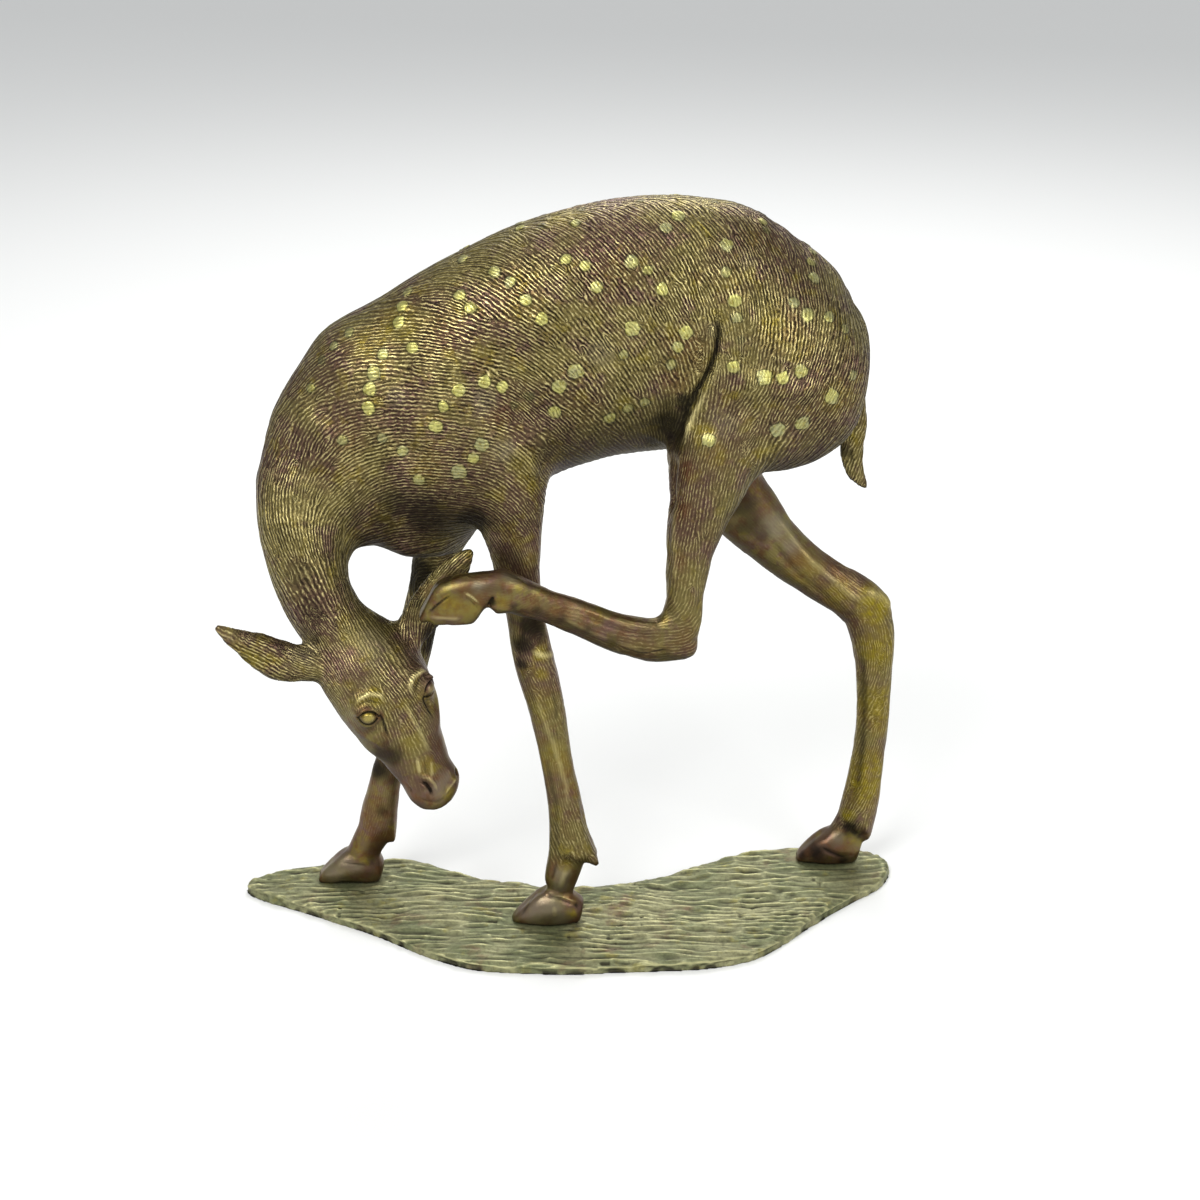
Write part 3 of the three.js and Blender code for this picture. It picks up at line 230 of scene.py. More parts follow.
# Chased lines, each with the values of a ChasedLine.
LINES = (
    ("flank fold",
     ((716, 312), (719, 330), (717, 348), (711, 365), (703, 380), (690, 402)), 2.4, -4.0, -0.9, Side.BODY),
    ("hide beside the flank fold",
     ((710, 318), (711, 345), (703, 368), (690, 388), (678, 405)), 6.0, 3.0, 0.0, Side.BODY),
    ("front of the thigh", ((728, 345), (718, 372), (703, 396), (692, 420)), 6.0, 2.6, 0.2, Side.BODY),
    ("knee", ((688, 412), (688, 432)), 7.0, 2.4, 0.4, Side.BODY),
    ("hollow of the flank", ((690, 405), (672, 425), (655, 440)), 14.0, -7.0, 0.0, Side.BODY),
    ("brisket", ((384, 538), (408, 547), (436, 547), (464, 540)), 17.0, 9.0),
    ("shoulder blade", ((405, 345), (440, 385), (472, 425), (490, 460)), 14.0, 3.2, 0.0, Side.BODY),
    ("behind the shoulder", ((500, 335), (508, 375), (522, 415), (520, 440)), 13.0, -4.2, -0.05, Side.BODY),
    ("in front of the shoulder", ((385, 400), (400, 440), (420, 465)), 12.0, -3.6, -0.05, Side.BODY),
    ("elbow", ((508, 446), (528, 458), (537, 480)), 8.0, 4.0, 0.25, Side.BODY),
    ("hollow above the elbow", ((478, 395), (490, 412), (505, 425)), 8.0, -3.0, 0.0, Side.BODY),
    ("neck muscle", ((300, 405), (330, 440), (345, 490), (340, 530)), 12.0, 2.4, 0.0, Side.BODY),
    ("throat hollow", ((372, 470), (370, 505), (362, 535)), 9.0, -2.6, 0.0, Side.BODY),
    ("forearm edge", ((550, 470), (552, 520), (546, 570)), 4.5, 1.6),
    ("hip", ((728, 285), (748, 300), (752, 335)), 12.0, 4.0, 0.0, Side.BODY),
    ("hollow before the hip", ((700, 255), (704, 285), (706, 310)), 12.0, -4.5, -0.05, Side.BODY),
    ("hollow of the loin", ((612, 335), (600, 350), (590, 365)), 12.0, -1.8, 0.0, Side.BODY),
    ("thigh muscle", ((728, 372), (760, 388), (800, 392), (830, 384)), 9.0, 3.6, 0.08, Side.BODY),
    ("hollow of the thigh", ((728, 402), (752, 414), (764, 436), (752, 462)), 12.0, -4.4, 0.0, Side.BODY),
    ("shade under the flank fold",
     ((698, 388), (689, 404), (681, 420), (674, 442)), 4.5, -1.2, -1.0, Side.BODY),
    ("edge of the thigh", ((704, 396), (695, 411), (688, 424), (683, 446)), 2.4, 1.4, 0.75, Side.BODY),
    ("knee point", ((687, 419), (685, 432)), 3.0, 0.6, 0.7),
    ("front of the shank", ((673, 450), (670, 480), (670, 515)), 11.0, -7.0),
    ("shank edge", ((678, 455), (674, 520), (676, 590)), 3.5, 1.5, 0.3),
    ("shank tendon", ((722, 520), (716, 570), (708, 620)), 4.0, 1.6, 0.2),
    ("shank hollow", ((708, 500), (704, 560), (698, 600)), 6.0, -1.8, -0.2),
    ("foreleg bone", ((532, 680), (542, 715), (554, 745), (566, 786), (569, 822)), 3.4, 1.2, 0.3),
    ("foreleg tendon", ((552, 690), (564, 745), (576, 800), (586, 845)), 4.0, 1.0, 0.05),
    ("foreleg hollow", ((543, 745), (549, 775), (556, 806), (556, 835), (555, 862)), 4.2, -0.9, -0.42),
    ("foreleg stain", ((552, 688), (556, 708), (557, 726)), 2.4, -0.5, -0.45),
    ("knee of the foreleg", ((532, 651), (541, 655), (553, 654)), 3.4, 1.6, 0.8),
    ("fetlock of the foreleg", ((562, 850), (574, 856), (588, 862)), 6.0, 1.6, 0.1),
    ("pastern, middle", ((566, 868), (563, 880), (560, 890)), 3.2, 0.9, 0.35),
    ("pastern, shaded side", ((557, 862), (553, 876), (546, 888)), 2.4, -0.8, -0.45),
    ("raised foot, tendon", ((690, 655), (640, 650), (590, 632), (540, 606)), 3.4, 1.2, 0.2),
    ("raised foot, hollow", ((670, 640), (620, 630), (575, 612)), 4.2, -1.4, -0.3),
    ("raised hoof, coronet", ((464, 592), (472, 597), (479, 603), (486, 609)), 1.1, 0.9, 0.7),
    ("raised hoof, under the coronet", ((462, 594), (470, 600), (476, 606), (481, 611)), 1.3, -0.9, -0.4),
    ("raised foot, heel", ((494, 596), (492, 600), (490, 604), (488, 607)), 1.9, -3.4, -1.0),
    ("raised foot, shaded edge",
     ((500, 608), (520, 611), (545, 618), (572, 630), (606, 646)), 2.6, -0.5, -0.6),
    ("hock fold", ((636, 655), (654, 651), (672, 649)), 1.3, -1.2, -0.9),
    ("raised foot, pad", ((494, 606), (502, 609), (516, 610)), 3.0, 1.6, 0.1),
    ("raised foot, joint", ((500, 572), (512, 570)), 6.0, 2.2, 0.1),
    ("raised hoof, cleft", ((427, 614), (438, 604), (452, 594)), 1.4, -1.5, -0.8),
    ("raised hoof, edge", ((429, 616), (441, 618), (452, 619), (463, 618)), 2.2, 0.6, 0.4),
    ("hind tendon", ((903, 640), (902, 720), (892, 790), (880, 830)), 3.0, 1.2, 0.2),
    ("hind hollow",
     ((857, 628), (863, 665), (864, 705), (862, 745), (857, 790), (850, 815)), 4.6, -0.9, -0.5),
    ("gaskin ridge", ((770, 505), (810, 560), (850, 595), (890, 612)), 4.5, 1.8, 0.3),
    ("gaskin hollow", ((765, 530), (800, 575), (845, 615)), 5.0, -1.6, -0.4),
    ("hock", ((862, 590), (884, 598), (890, 610)), 6.0, 4.0, 0.4),
    ("far hind coronet", ((815, 842), (826, 850), (842, 857), (851, 855)), 2.6, -1.2, -0.8),
    ("far hind fetlock", ((866, 822), (866, 834)), 4.0, 2.0, 0.1),
    ("far hind pastern", ((840, 824), (850, 829), (860, 836)), 4.5, -1.6, -0.9),
    ("near fore coronet", ((542, 889), (550, 893), (560, 896), (570, 900), (579, 903)), 1.0, 0.9, 0.35),
    ("under the near fore coronet",
     ((540, 892), (549, 896), (560, 899), (570, 903), (577, 906)), 1.2, -1.0, -0.6),
    ("near fore toe edge", ((536, 893), (528, 905), (520, 918)), 2.2, -0.7, -0.5),
    ("near fore hoof, middle", ((554, 904), (555, 918)), 3.0, 0.8, 0.3),
    ("far fore coronet", ((340, 862), (356, 864), (372, 866)), 1.5, -0.9, -0.5),
    ("right ear rim", ((222, 634), (240, 656), (262, 674), (292, 681), (312, 676)), 1.8, 1.2, 0.7),
    ("right ear fold", ((240, 646), (264, 660), (292, 669)), 3.0, -1.6, -0.2),
    ("right ear tip", ((216, 625), (225, 630), (236, 636)), 5.5, 1.7, 0.15),
    ("right ear back", ((236, 636), (262, 643), (290, 650)), 6.0, 2.2),
    ("left ear rim", ((472, 549), (476, 560), (470, 578)), 1.6, 0.9, 0.6),
    ("left ear fold", ((464, 560), (448, 580), (432, 602)), 2.0, -1.2, -0.4),
    ("brow", ((356, 705), (361, 698), (370, 693.5), (380, 695), (385, 701)), 2.6, 2.8, 0.8, Side.FACE),
    ("fold above the lid",
     ((355, 710), (361, 703), (370, 700.5), (379, 703), (383, 708)), 1.3, -1.1, -0.6, Side.FACE),
    ("tear line", ((379, 711), (382, 718), (385, 727), (388, 738)), 1.1, -1.6, -1.0, Side.FACE),
    ("tear pit", ((378, 721), (383, 733)), 3.4, -1.6, -0.2, Side.FACE),
    ("cheek bone", ((350, 722), (362, 734), (380, 743), (396, 753)), 5.0, 1.8, 0.0, Side.FACE),
    ("jaw", ((345, 716), (366, 752), (392, 784)), 5.0, -1.2, -0.2, Side.FACE),
    ("middle of the face", ((403, 700), (411, 714), (423, 737), (431, 754)), 3.2, 1.2, 0.5),
    ("beside the middle", ((392, 708), (402, 726), (414, 748)), 4.0, -1.0, -0.1, Side.FACE),
    ("nose bridge, one side", ((417, 758), (420, 775)), 2.0, 1.2, 0.6),
    ("nose bridge, other side", ((431, 760), (432, 778)), 2.0, 1.1, 0.4),
    ("nose bridge, hollow", ((425, 758), (426, 777)), 2.0, -1.0, -0.3),
    ("near nostril", ((420, 782), (426, 784), (430, 789), (433, 796)), 1.6, -3.6, -1.0),
    ("far nostril", ((453, 762), (456, 768), (457, 776)), 1.7, -3.0, -1.0),
    ("far nostril wing", ((447, 766), (450, 776), (455, 782)), 2.0, 1.3, 0.15),
    ("near nostril wing", ((419, 777), (427, 777.5), (434, 783), (438, 792)), 1.8, 1.6, 0.35),
    ("nose pad, groove", ((445, 784), (445, 793), (442, 800)), 1.1, -0.9, -0.3),
    ("nose pad, rim", ((440, 799), (447, 791), (453, 783), (457, 775)), 1.4, 0.9, 0.4),
    ("mouth", ((459, 786), (448, 797), (437, 803), (424, 800), (410, 789), (396, 774)), 1.3, -1.4, -0.4),
    ("lower lip", ((450, 800), (437, 808), (420, 806), (404, 794)), 2.2, 1.2, 0.1),
    ("tail fold", ((852, 420), (850, 450), (856, 475)), 2.4, -1.6, -0.6),
    ("tail edge", ((862, 420), (868, 450), (868, 480)), 2.6, 1.2, 0.5),
)


def smoothstep(low: float, high: float, value: np.ndarray) -> np.ndarray:
    """Soft step from 0 at low to 1 at high.

    Args:
        low: Where the step starts.
        high: Where it ends.
        value: The values.

    Returns:
        The step at each value.
    """
    t = np.clip((value - low) / (high - low), 0, 1)
    return t * t * (3 - 2 * t)


def unit(rows: np.ndarray) -> np.ndarray:
    """Rows scaled to length one."""
    return rows / np.maximum(np.linalg.norm(rows, axis=-1, keepdims=True), 1e-12)


def wrap(angle: np.ndarray) -> np.ndarray:
    """Angles brought between minus and plus half a turn."""
    return (angle + math.pi) % TURN - math.pi


def grain(points: np.ndarray, size: float, seed: int) -> np.ndarray:
    """Smooth noise from -1 to 1.

    Args:
        points: Places in metres.
        size: Width of one lump in metres.
        seed: Picks the pattern.

    Returns:
        One value for each point.
    """
    cell = points / size
    low = np.floor(cell).astype(np.int64)
    part = cell - low
    part = part * part * (3 - 2 * part)
    total = np.zeros(len(points))
    for corner in range(8):
        step = np.array([corner & 1, corner >> 1 & 1, corner >> 2 & 1])
        key = (low + step) @ HASH_AXES + seed * HASH_SEED
        key = (key ^ (key >> 13)) * HASH_FIRST & HASH_MASK
        key = (key ^ (key >> 16)) * HASH_SECOND & HASH_MASK
        value = (key & 0xFFFF) / 32767.5 - 1
        total += value * np.prod(np.where(step, part, 1 - part), axis=1)
    return total


@dataclass(frozen=True)
class PhotoView:
    """The photograph's camera.

    Args:
        place: Where it stands.
        target: What it looks at, in the middle of the picture.
        lens_mm: Focal length.
        sensor_mm: Width of the sensor.
    """

    place: Vector = Vector((0.033, -2.353, 1.350))
    target: Vector = Vector((0.033, 0.047, 0.341))
    lens_mm: float = 75.0
    sensor_mm: float = 36.0

    def make(self) -> bpy.types.Object:
        """Adds the camera and makes it the scene's own.

        Returns:
            The camera.
        """
        data = bpy.data.cameras.new("photo_view")
        data.lens = self.lens_mm
        data.sensor_width = self.sensor_mm
        camera = bpy.data.objects.new("photo_view", data)
        camera.location = self.place
        camera.rotation_euler = (self.target - self.place).to_track_quat("-Z", "Y").to_euler()
        bpy.context.scene.collection.objects.link(camera)
        bpy.context.scene.camera = camera
        return camera

    def ray(self, px: float, py: float, mirrored: bool = False) -> tuple:
        """The line of sight through a pixel.

        Args:
            px: Pixels from the left.
            py: Pixels from the top.
            mirrored: Whether to look from the mirror image of the place, at the far side.

        Returns:
            The eye, the direction, and the picture's right and up.
        """
        ahead = (self.target - self.place).normalized()
        right = ahead.cross(Vector((0, 0, 1))).normalized()
        up = right.cross(ahead)
        scale = PHOTO_SIZE * self.lens_mm / self.sensor_mm
        look = ahead + right * ((px - PHOTO_SIZE / 2) / scale) - up * ((py - PHOTO_SIZE / 2) / scale)
        eye, look = self.place.copy(), look.normalized()
        if mirrored:
            flip = Vector((1, -1, 1))
            eye, look, right, up = (v * flip for v in (eye, look, right, up))
            eye.y += 2 * MIDLINE_Y
        return eye, look, right, up


@dataclass(frozen=True)
class HeadAxes:
    """The head's own axes: down the face, out of the forehead, and to the deer's right."""

    centre: tuple = (-0.178, -0.086, 0.289)
    muzzle: tuple = (0.42, -0.12, -0.9)
    brow: tuple = (0.4, -0.88, 0.27)

    @property
    def down(self) -> np.ndarray:
        """From the brow to the nose."""
        return unit(np.array(self.muzzle))

    @property
    def right(self) -> np.ndarray:
        """Towards the deer's right cheek."""
        return unit(np.cross(self.down, self.brow))

    def mirror(self, points: np.ndarray) -> np.ndarray:
        """Points on the other side of the face."""
        away = (points - np.array(self.centre)) @ self.right
        return points - 2 * away[..., None] * self.right


class FineSkin:
    """A closed mesh of small quads as arrays, to be modelled like wax."""

    def __init__(self, obj: bpy.types.Object) -> None:
        """Reads the quads of an object.

        Args:
            obj: A voxel remeshed object at the origin.
        """
        mesh = obj.data
        self.obj = obj
        self.points = np.empty(len(mesh.vertices) * 3)
        mesh.vertices.foreach_get("co", self.points)
        self.points = self.points.reshape(-1, 3)
        corners = np.empty(len(mesh.loops), np.int32)
        mesh.loops.foreach_get("vertex_index", corners)
        self.quads = corners.reshape(-1, 4)
        self.count = len(self.points)
        pairs = np.concatenate([self.quads[:, [k, (k + 1) % 4]] for k in range(4)]).astype(np.int64)
        pairs.sort(axis=1)
        keys = np.unique(pairs[:, 0] * self.count + pairs[:, 1])
        self.near, self.far = keys // self.count, keys % self.count
        self.degree = self.gather(np.ones(len(keys)), np.ones(len(keys)))

    def gather(self, to_near: np.ndarray, to_far: np.ndarray) -> np.ndarray:
        """Sums what each edge hands to its two ends."""
        ends = np.bincount(self.near, weights=to_near, minlength=self.count)
        return ends + np.bincount(self.far, weights=to_far, minlength=self.count)

    def spread(self, values: np.ndarray, steps: int, share: float = 0.5) -> np.ndarray:
        """Smooths values over the surface.

        Args:
            values: One value or row for each point.
            steps: How many times each point is mixed with its neighbours.
            share: The neighbours' share in each step.

        Returns:
            The smoothed values.
        """
        rows = values.reshape(self.count, -1).copy()
        for _ in range(steps):
            for c in range(rows.shape[1]):
                column = rows[:, c]
                mean = self.gather(column[self.far], column[self.near]) / self.degree
                rows[:, c] = column + share * (mean - column)
        return rows.reshape(values.shape)

    def normals(self) -> np.ndarray:
        """Outward normals.

        Returns:
            One row of length one for each point.
        """
        a, b, c, d = (self.points[self.quads[:, k]] for k in range(4))
        faces = np.cross(c - a, d - b)
        summed = np.empty_like(self.points)
        for axis in range(3):
            summed[:, axis] = sum(
                np.bincount(self.quads[:, k], weights=faces[:, axis], minlength=self.count)
                for k in range(4)
            )
        return unit(summed)

    def relax(self, steps: int) -> None:
        """Takes out the stair steps of the remesh without shrinking thin limbs.

        Args:
            steps: How often the points are drawn in and let out again.
        """
        for share in (0.5, -0.52) * steps:
            self.points = self.spread(self.points, 1, share)

    def around(self, place: np.ndarray, radius: float) -> tuple:
        """Points near a place.

        Args:
            place: The place in metres.
            radius: How far in mm.

        Returns:
            Their indices and their distances in mm.
        """
        away = self.points - place
        picked = np.nonzero((away * away).sum(1) < (radius * MM) ** 2)[0]
        return picked, np.linalg.norm(away[picked], axis=1) / MM

    def write(self) -> None:
        """Hands the points back to the object."""
        self.obj.data.vertices.foreach_set("co", self.points.ravel())
        self.obj.data.update()


def alone(obj: bpy.types.Object) -> None:
    """Makes an object the only selected one, and active."""
    bpy.ops.object.select_all(action="DESELECT")
    obj.select_set(True)
    bpy.context.view_layer.objects.active = obj


def add_modifier(obj: bpy.types.Object, kind: str, **settings: object) -> None:
    """Adds a modifier with its settings and applies it.

    Args:
        obj: The object.
        kind: The modifier's type.
        **settings: Its values.
    """
    alone(obj)
    modifier = obj.modifiers.new(kind.lower(), kind)
    for name, value in settings.items():
        setattr(modifier, name, value)
    bpy.ops.object.modifier_apply(modifier=modifier.name)


def copy_of_solid(node: str, name: str) -> bpy.types.Object:
    """A merged copy of a CAD node, to be worked on.

    Args:
        node: The node's name.
        name: The new piece's name.

    Returns:
        The copy, with no material.
    """
    obj = bpy.data.objects.new(name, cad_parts[node].data.copy())
    obj.data.name = name
    bpy.context.scene.collection.objects.link(obj)
    obj.data.materials.clear()
    alone(obj)
    bpy.ops.object.mode_set(mode="EDIT")
    bpy.ops.mesh.select_all(action="SELECT")
    bpy.ops.mesh.remove_doubles(threshold=1e-5)
    bpy.ops.object.mode_set(mode="OBJECT")
    return obj


def thin_out(obj: bpy.types.Object, triangles: int) -> None:
    """Brings a fine mesh down to a number of triangles, keeping them where the form turns.

    Args:
        obj: The mesh.
        triangles: How many it may keep.
    """
    add_modifier(obj, "TRIANGULATE")
    share = triangles / len(obj.data.polygons)
    add_modifier(obj, "DECIMATE", decimate_type="COLLAPSE", ratio=min(share, 1.0))
    obj.data.shade_smooth()


def store(obj: bpy.types.Object, name: str, values: np.ndarray, domain: str = "POINT") -> None:
    """Writes one value for each point or face corner to a mesh attribute."""
    attribute = obj.data.attributes.new(name, "FLOAT", domain)
    attribute.data.foreach_set("value", values.astype(np.float32))


@dataclass
class DeerCasting:
    """The fawn, cast in one piece, with chased fur, spots and face."""

    view: PhotoView
    voxel: float = 1.5 * MM
    quick_voxel: float = 2.0 * MM
    lock_gap: float = 6.9 * MM
    spot_rise: float = 1.2  # mm
    lock_rise: float = 0.85  # mm
    full_depth: float = 0.6  # in the fur tables
    triangles: int = 197000
    settling: int = 130
    quick_settling: int = 40
    head: HeadAxes = field(default_factory=HeadAxes)
    skin: FineSkin = field(init=False)
    # For each point of the skin: outward direction, mm to raise it by, how far it is spot or polished
    # smooth, its tone from -1 for painted shade and dark patina to 1 for painted highlight and rubbed
    # bronze, and its stains, painted shade among them.
    out: np.ndarray = field(init=False)
    lift: np.ndarray = field(init=False)
    spot: np.ndarray = field(init=False)
    sleek: np.ndarray = field(init=False)
    tone: np.ndarray = field(init=False)
    stain: dict = field(init=False)
    # The fur's depth, how its locks turn over a metre, and where in a lock each point lies.
    depth: np.ndarray = field(init=False)
    pace: np.ndarray = field(init=False)
    state: np.ndarray = field(init=False)

    def build(self) -> bpy.types.Object:
        """Models the casting.

        Returns:
            The finished piece.
        """
        voxel = self.voxel
        obj = copy_of_solid("deer", "fawn_casting")
        add_modifier(obj, "SUBSURF", levels=2, render_levels=2)
        add_modifier(obj, "REMESH", mode="VOXEL", voxel_size=voxel)
        self.skin = FineSkin(obj)
        LOG.info("fine skin of %d points", self.skin.count)
        self.skin.relax(12)
        self.skin.write()
        count = self.skin.count
        self.lift, self.spot, self.sleek, self.tone = (np.zeros(count) for _ in range(4))
        self.stain = {tint: np.zeros(count) for tint in Tint}
        self.out = unit(self.skin.spread(self.skin.normals(), 6))
        self.lay_lines()
        self.model_eyes()
        self.stain_patina()
        self.raise_spots()
        self.skin.points += self.out * (self.lift * MM)[:, None]
        self.out = unit(self.skin.spread(self.skin.normals(), 3))
        self.comb_fur()
        hair = (np.clip(self.depth, 0, self.full_depth) / self.full_depth) ** 1.25 * (1 - self.sleek)
        hair *= 1 - 0.45 * self.spot
        lock = self.state.real * hair
        fine, broad = (grain(self.skin.points, size, seed) for size, seed in ((0.0045, 41), (0.013, 42)))
        rough_cast = (0.12 * fine + 0.3 * broad) * (1 - hair)
        rise = 0.5 * self.lock_rise * lock + self.spot_rise * self.spot + rough_cast
        self.skin.points += self.out * (rise * MM)[:, None]
        self.skin.write()
        # coarse hollows, darkened later with patina and painted shade
        hollow = ((self.skin.spread(self.skin.points, 50) - self.skin.points) * self.out).sum(1) / MM
        for name, values in (
            ("hollow", hollow),
            ("spot", self.spot),
            ("hair", hair),
            ("tone", self.tone),
            # painted shade on the skin that faces down
            ("under", smoothstep(0.15, -0.85, self.out[:, 2])),
        ):
            store(obj, name, values)
        for tint, values in self.stain.items():
            store(obj, tint.value, values)
        thin_out(obj, self.triangles)
        self.number_strands(obj)
        LOG.info("casting has %d triangles", len(obj.data.polygons))
        return obj

    def cast(self, px: float, py: float, mirrored: bool = False) -> tuple | None:
        """Where a pixel's line of sight meets the surface.

        Args:
            px: Pixels from the left.
            py: Pixels from the top.
            mirrored: Whether to look at the far side.

        Returns:
            The place, the normal, the line of sight, and the picture's right and up. None off the
            surface.
        """
        eye, look, right, up = self.view.ray(px, py, mirrored)
        hit, place, normal, _ = self.skin.obj.ray_cast(eye, look)
        return (place, normal, look, right, up) if hit else None

    def brush(self, path: np.ndarray, line: ChasedLine) -> None:
        """Lays or presses a soft line along a path.

        Args:
            path: Points in metres.
            line: Its width, height and tone.
        """
        reach = 3 * line.width * MM
        low, high = path.min(0) - reach, path.max(0) + reach
        boxed = (self.skin.points > low) & (self.skin.points < high)
        picked = np.nonzero(boxed.all(axis=1))[0]
        if not len(picked):
            return
        points = self.skin.points[picked]
        steps = np.linalg.norm(np.diff(path, axis=0), axis=1)
        run = np.concatenate([[0], np.cumsum(steps)])
        best = np.full(len(points), np.inf)
        along = np.zeros(len(points))
        for i, length in enumerate(steps):
            ahead = (path[i + 1] - path[i]) / length
            t = np.clip((points - path[i]) @ ahead, 0, length)
            away = np.linalg.norm(points - path[i] - t[:, None] * ahead, axis=1)
            closer = away < best
            best[closer] = away[closer]
            along[closer] = run[i] + t[closer]
        share = along / run[-1]
        ends = 0.25 + 0.75 * smoothstep(0, 0.25, np.minimum(share, 1 - share))
        shape = ends * np.exp(-((best / (line.width * MM)) ** 2))
        self.lift[picked] += line.rise * shape
        self.tone[picked] += line.tone * shape

    def lay_lines(self) -> None:
        """Lays every chased line on the sides it belongs to."""
        for line in (ChasedLine(*row) for row in LINES):
            for mirrored in (False, True):
                if mirrored and line.side is not Side.BODY:
                    continue
                hits = [self.cast(px, py, mirrored) for px, py in line.path]
                path = np.array([hit[0] for hit in hits if hit])
                if len(path) < 2:
                    continue
                self.brush(path, line)
                if line.side is Side.FACE:
                    self.brush(self.other_side(path), line)

    def other_side(self, path: np.ndarray) -> np.ndarray:
        """Points of the seen cheek carried to the far one, where the head's turn shows them."""
        moved = self.head.mirror(path) + (0.007 * self.head.down - 0.004 * self.head.right)
        return np.array([self.skin.obj.closest_point_on_mesh(Vector(place))[1] for place in moved])

    def model_eyes(self) -> None:
        """Sets an eyeball between two lids on each side of the head."""
        centre_px, corner_px = (368.5, 717.0), (378, 716.0)
        ball, opening, upper_lid, lower_lid = 9.8, 10.0, 5.6, 8.0
        centre = np.array(self.cast(*centre_px)[0])
        corner = np.array(self.cast(*corner_px)[0])
        for mirrored in (False, True):
            if mirrored:
                centre, corner = self.other_side(np.array([centre, corner]))
            picked, distance = self.skin.around(centre, 26)
            away = (self.skin.points[picked] - centre) / MM
            out = unit(self.out[picked][distance < 7].mean(0))
            long = unit((corner - centre) - out * ((corner - centre) @ out))
            up = np.cross(out, long)
            up = up * -np.sign(up @ self.head.down)
            x, y, z = away @ long, away @ up, away @ out
            arch = np.maximum(1 - (x / opening) ** 2, 0)
            upper, lower = upper_lid * arch**0.8, -lower_lid * arch**0.7
            inside = smoothstep(-0.5, 0.5, np.minimum(upper - y, y - lower)) * (abs(x) < opening)
            edge = np.minimum(abs(y - upper), abs(y - lower))
            rim = np.exp(-((edge / 1.1) ** 2)) * smoothstep(1.25, 1.0, abs(x) / opening)
            dome = np.sqrt(np.maximum(ball**2 - x**2 - (y + 0.6) ** 2, 0)) - 0.62 * ball
            eyeball = np.maximum(dome, -1.6) - z
            upper_fold = 3.6 * np.exp(-(((y - upper - 2.4) / 2.4) ** 2))
            lower_fold = 1.5 * np.exp(-(((y - lower + 2.2) / 1.8) ** 2))
            lids = (upper_fold + lower_fold) * (smoothstep(1.5, 0.9, abs(x) / opening) * (1 - inside))
            fade = smoothstep(24, 15, distance)
            kept = self.lift[picked] * (1 - inside)
            self.lift[picked] = kept + fade * (eyeball * inside + lids - 2.0 * rim)
            # painted highlight in the middle of the eyeball, painted shade along the edges of the lids
            eyeball_highlight = 0.30 * smoothstep(6.8, 4.2, np.hypot(x, y + 1))
            kept = self.tone[picked] * (1 - inside)
            self.tone[picked] = kept + fade * (eyeball_highlight * inside - 1.3 * rim)
            bare = smoothstep(1.6, 0.6, edge / 4) * fade * (distance < 15)
            self.sleek[picked] = np.maximum(np.maximum(self.sleek[picked], bare), inside)

    def stain_patina(self) -> None:
        """Lays the stains and the patches of painted shade with ragged edges, and marks what is polished
        smooth.
        """
        points = self.skin.points
        ragged = 1 + 0.3 * grain(points, 0.012, 31) + 0.15 * grain(points, 0.004, 32)
        for tint, rows in STAINS.items():
            for px, py, radius, strength in rows:
                hit = self.cast(px, py)
                if not hit:
                    continue
                picked, distance = self.skin.around(np.array(hit[0]), 1.6 * radius)
                blot = strength * smoothstep(1.3, 0.35, distance * ragged[picked] / radius)
                self.stain[tint][picked] = np.maximum(self.stain[tint][picked], blot)
        for sole_x, sole_y, top in HOOVES:
            picked, _ = self.skin.around(np.array((sole_x, sole_y, 0)), 120)
            bare = smoothstep(top + 0.008, top - 0.004, self.skin.points[picked, 2])
            self.sleek[picked] = np.maximum(self.sleek[picked], bare)
        picked, distance = self.skin.around(np.array(RAISED_HOOF), 60)
        self.sleek[picked] = np.maximum(self.sleek[picked], smoothstep(42, 34, distance))

    def raise_spots(self) -> None:
        """Marks the coat's round spots on both flanks."""
        for px, py, radius in SPOTS:
            for mirrored in (False, True):
                hit = self.cast(px, py, mirrored)
                if not hit:
                    continue
                picked, distance = self.skin.around(np.array(hit[0]), 2 * radius)
                uneven = 1 + 0.2 * grain(self.skin.points[picked], 0.004, 11)
                edge = smoothstep(radius + 1.1, radius - 0.7, distance * uneven)
                disc = smoothstep(3.0, 5.8, radius) * edge
                self.spot[picked] = np.maximum(self.spot[picked], disc)

    def comb_fur(self) -> None:
        """Works out the hair's direction and depth at each point, then the strands themselves."""
        rows = []
        for table, mirrored, reach in (
            (BODY_FUR, False, 30),
            (BODY_FUR, True, 30),
            (LIMB_FUR, False, 22),
            (FACE_FUR, False, 13),
        ):
            for px, py, angle, depth in table:
                hit = self.cast(px, py, mirrored)
                if not hit:
                    continue
                place, normal, look, right, up = hit
                turn = math.radians(angle)
                drawn = right * math.cos(turn) - up * math.sin(turn)
                way = normal.cross(look.cross(drawn)).normalized()
                way = way if way.dot(drawn) > 0 else -way
                rows.append((*place, *way, depth, reach * MM))
                if table is FACE_FUR:
                    flip = self.head.mirror(np.array([place, place + way]))
                    rows.append((*flip[0], *(flip[1] - flip[0]), depth, reach * MM))
        rows = np.array(rows)
        points = self.skin.points
        way = np.zeros_like(points)
        self.depth = np.zeros(self.skin.count)
        at_once = 40000
        for start in range(0, self.skin.count, at_once):
            part = slice(start, start + at_once)
            near = points[part]
            gap = (near**2).sum(1)[:, None] + (rows[:, :3] ** 2).sum(1) - 2 * near @ rows[:, :3].T
            gap = np.maximum(gap, 0)
            far_pull = 1e-10 / (1e-4 + gap)  # only counts where no row is near
            weight = np.exp(-gap / (2 * rows[:, 7] ** 2)) + far_pull
            weight /= weight.sum(1, keepdims=True)
            way[part] = weight @ rows[:, 3:6]
            self.depth[part] = weight @ rows[:, 6]
        self.depth = self.skin.spread(self.depth, 40)
        way = self.skin.spread(way, 6)
        way = unit(way - self.out * (way * self.out).sum(1)[:, None])
        self.settle_strands(way)

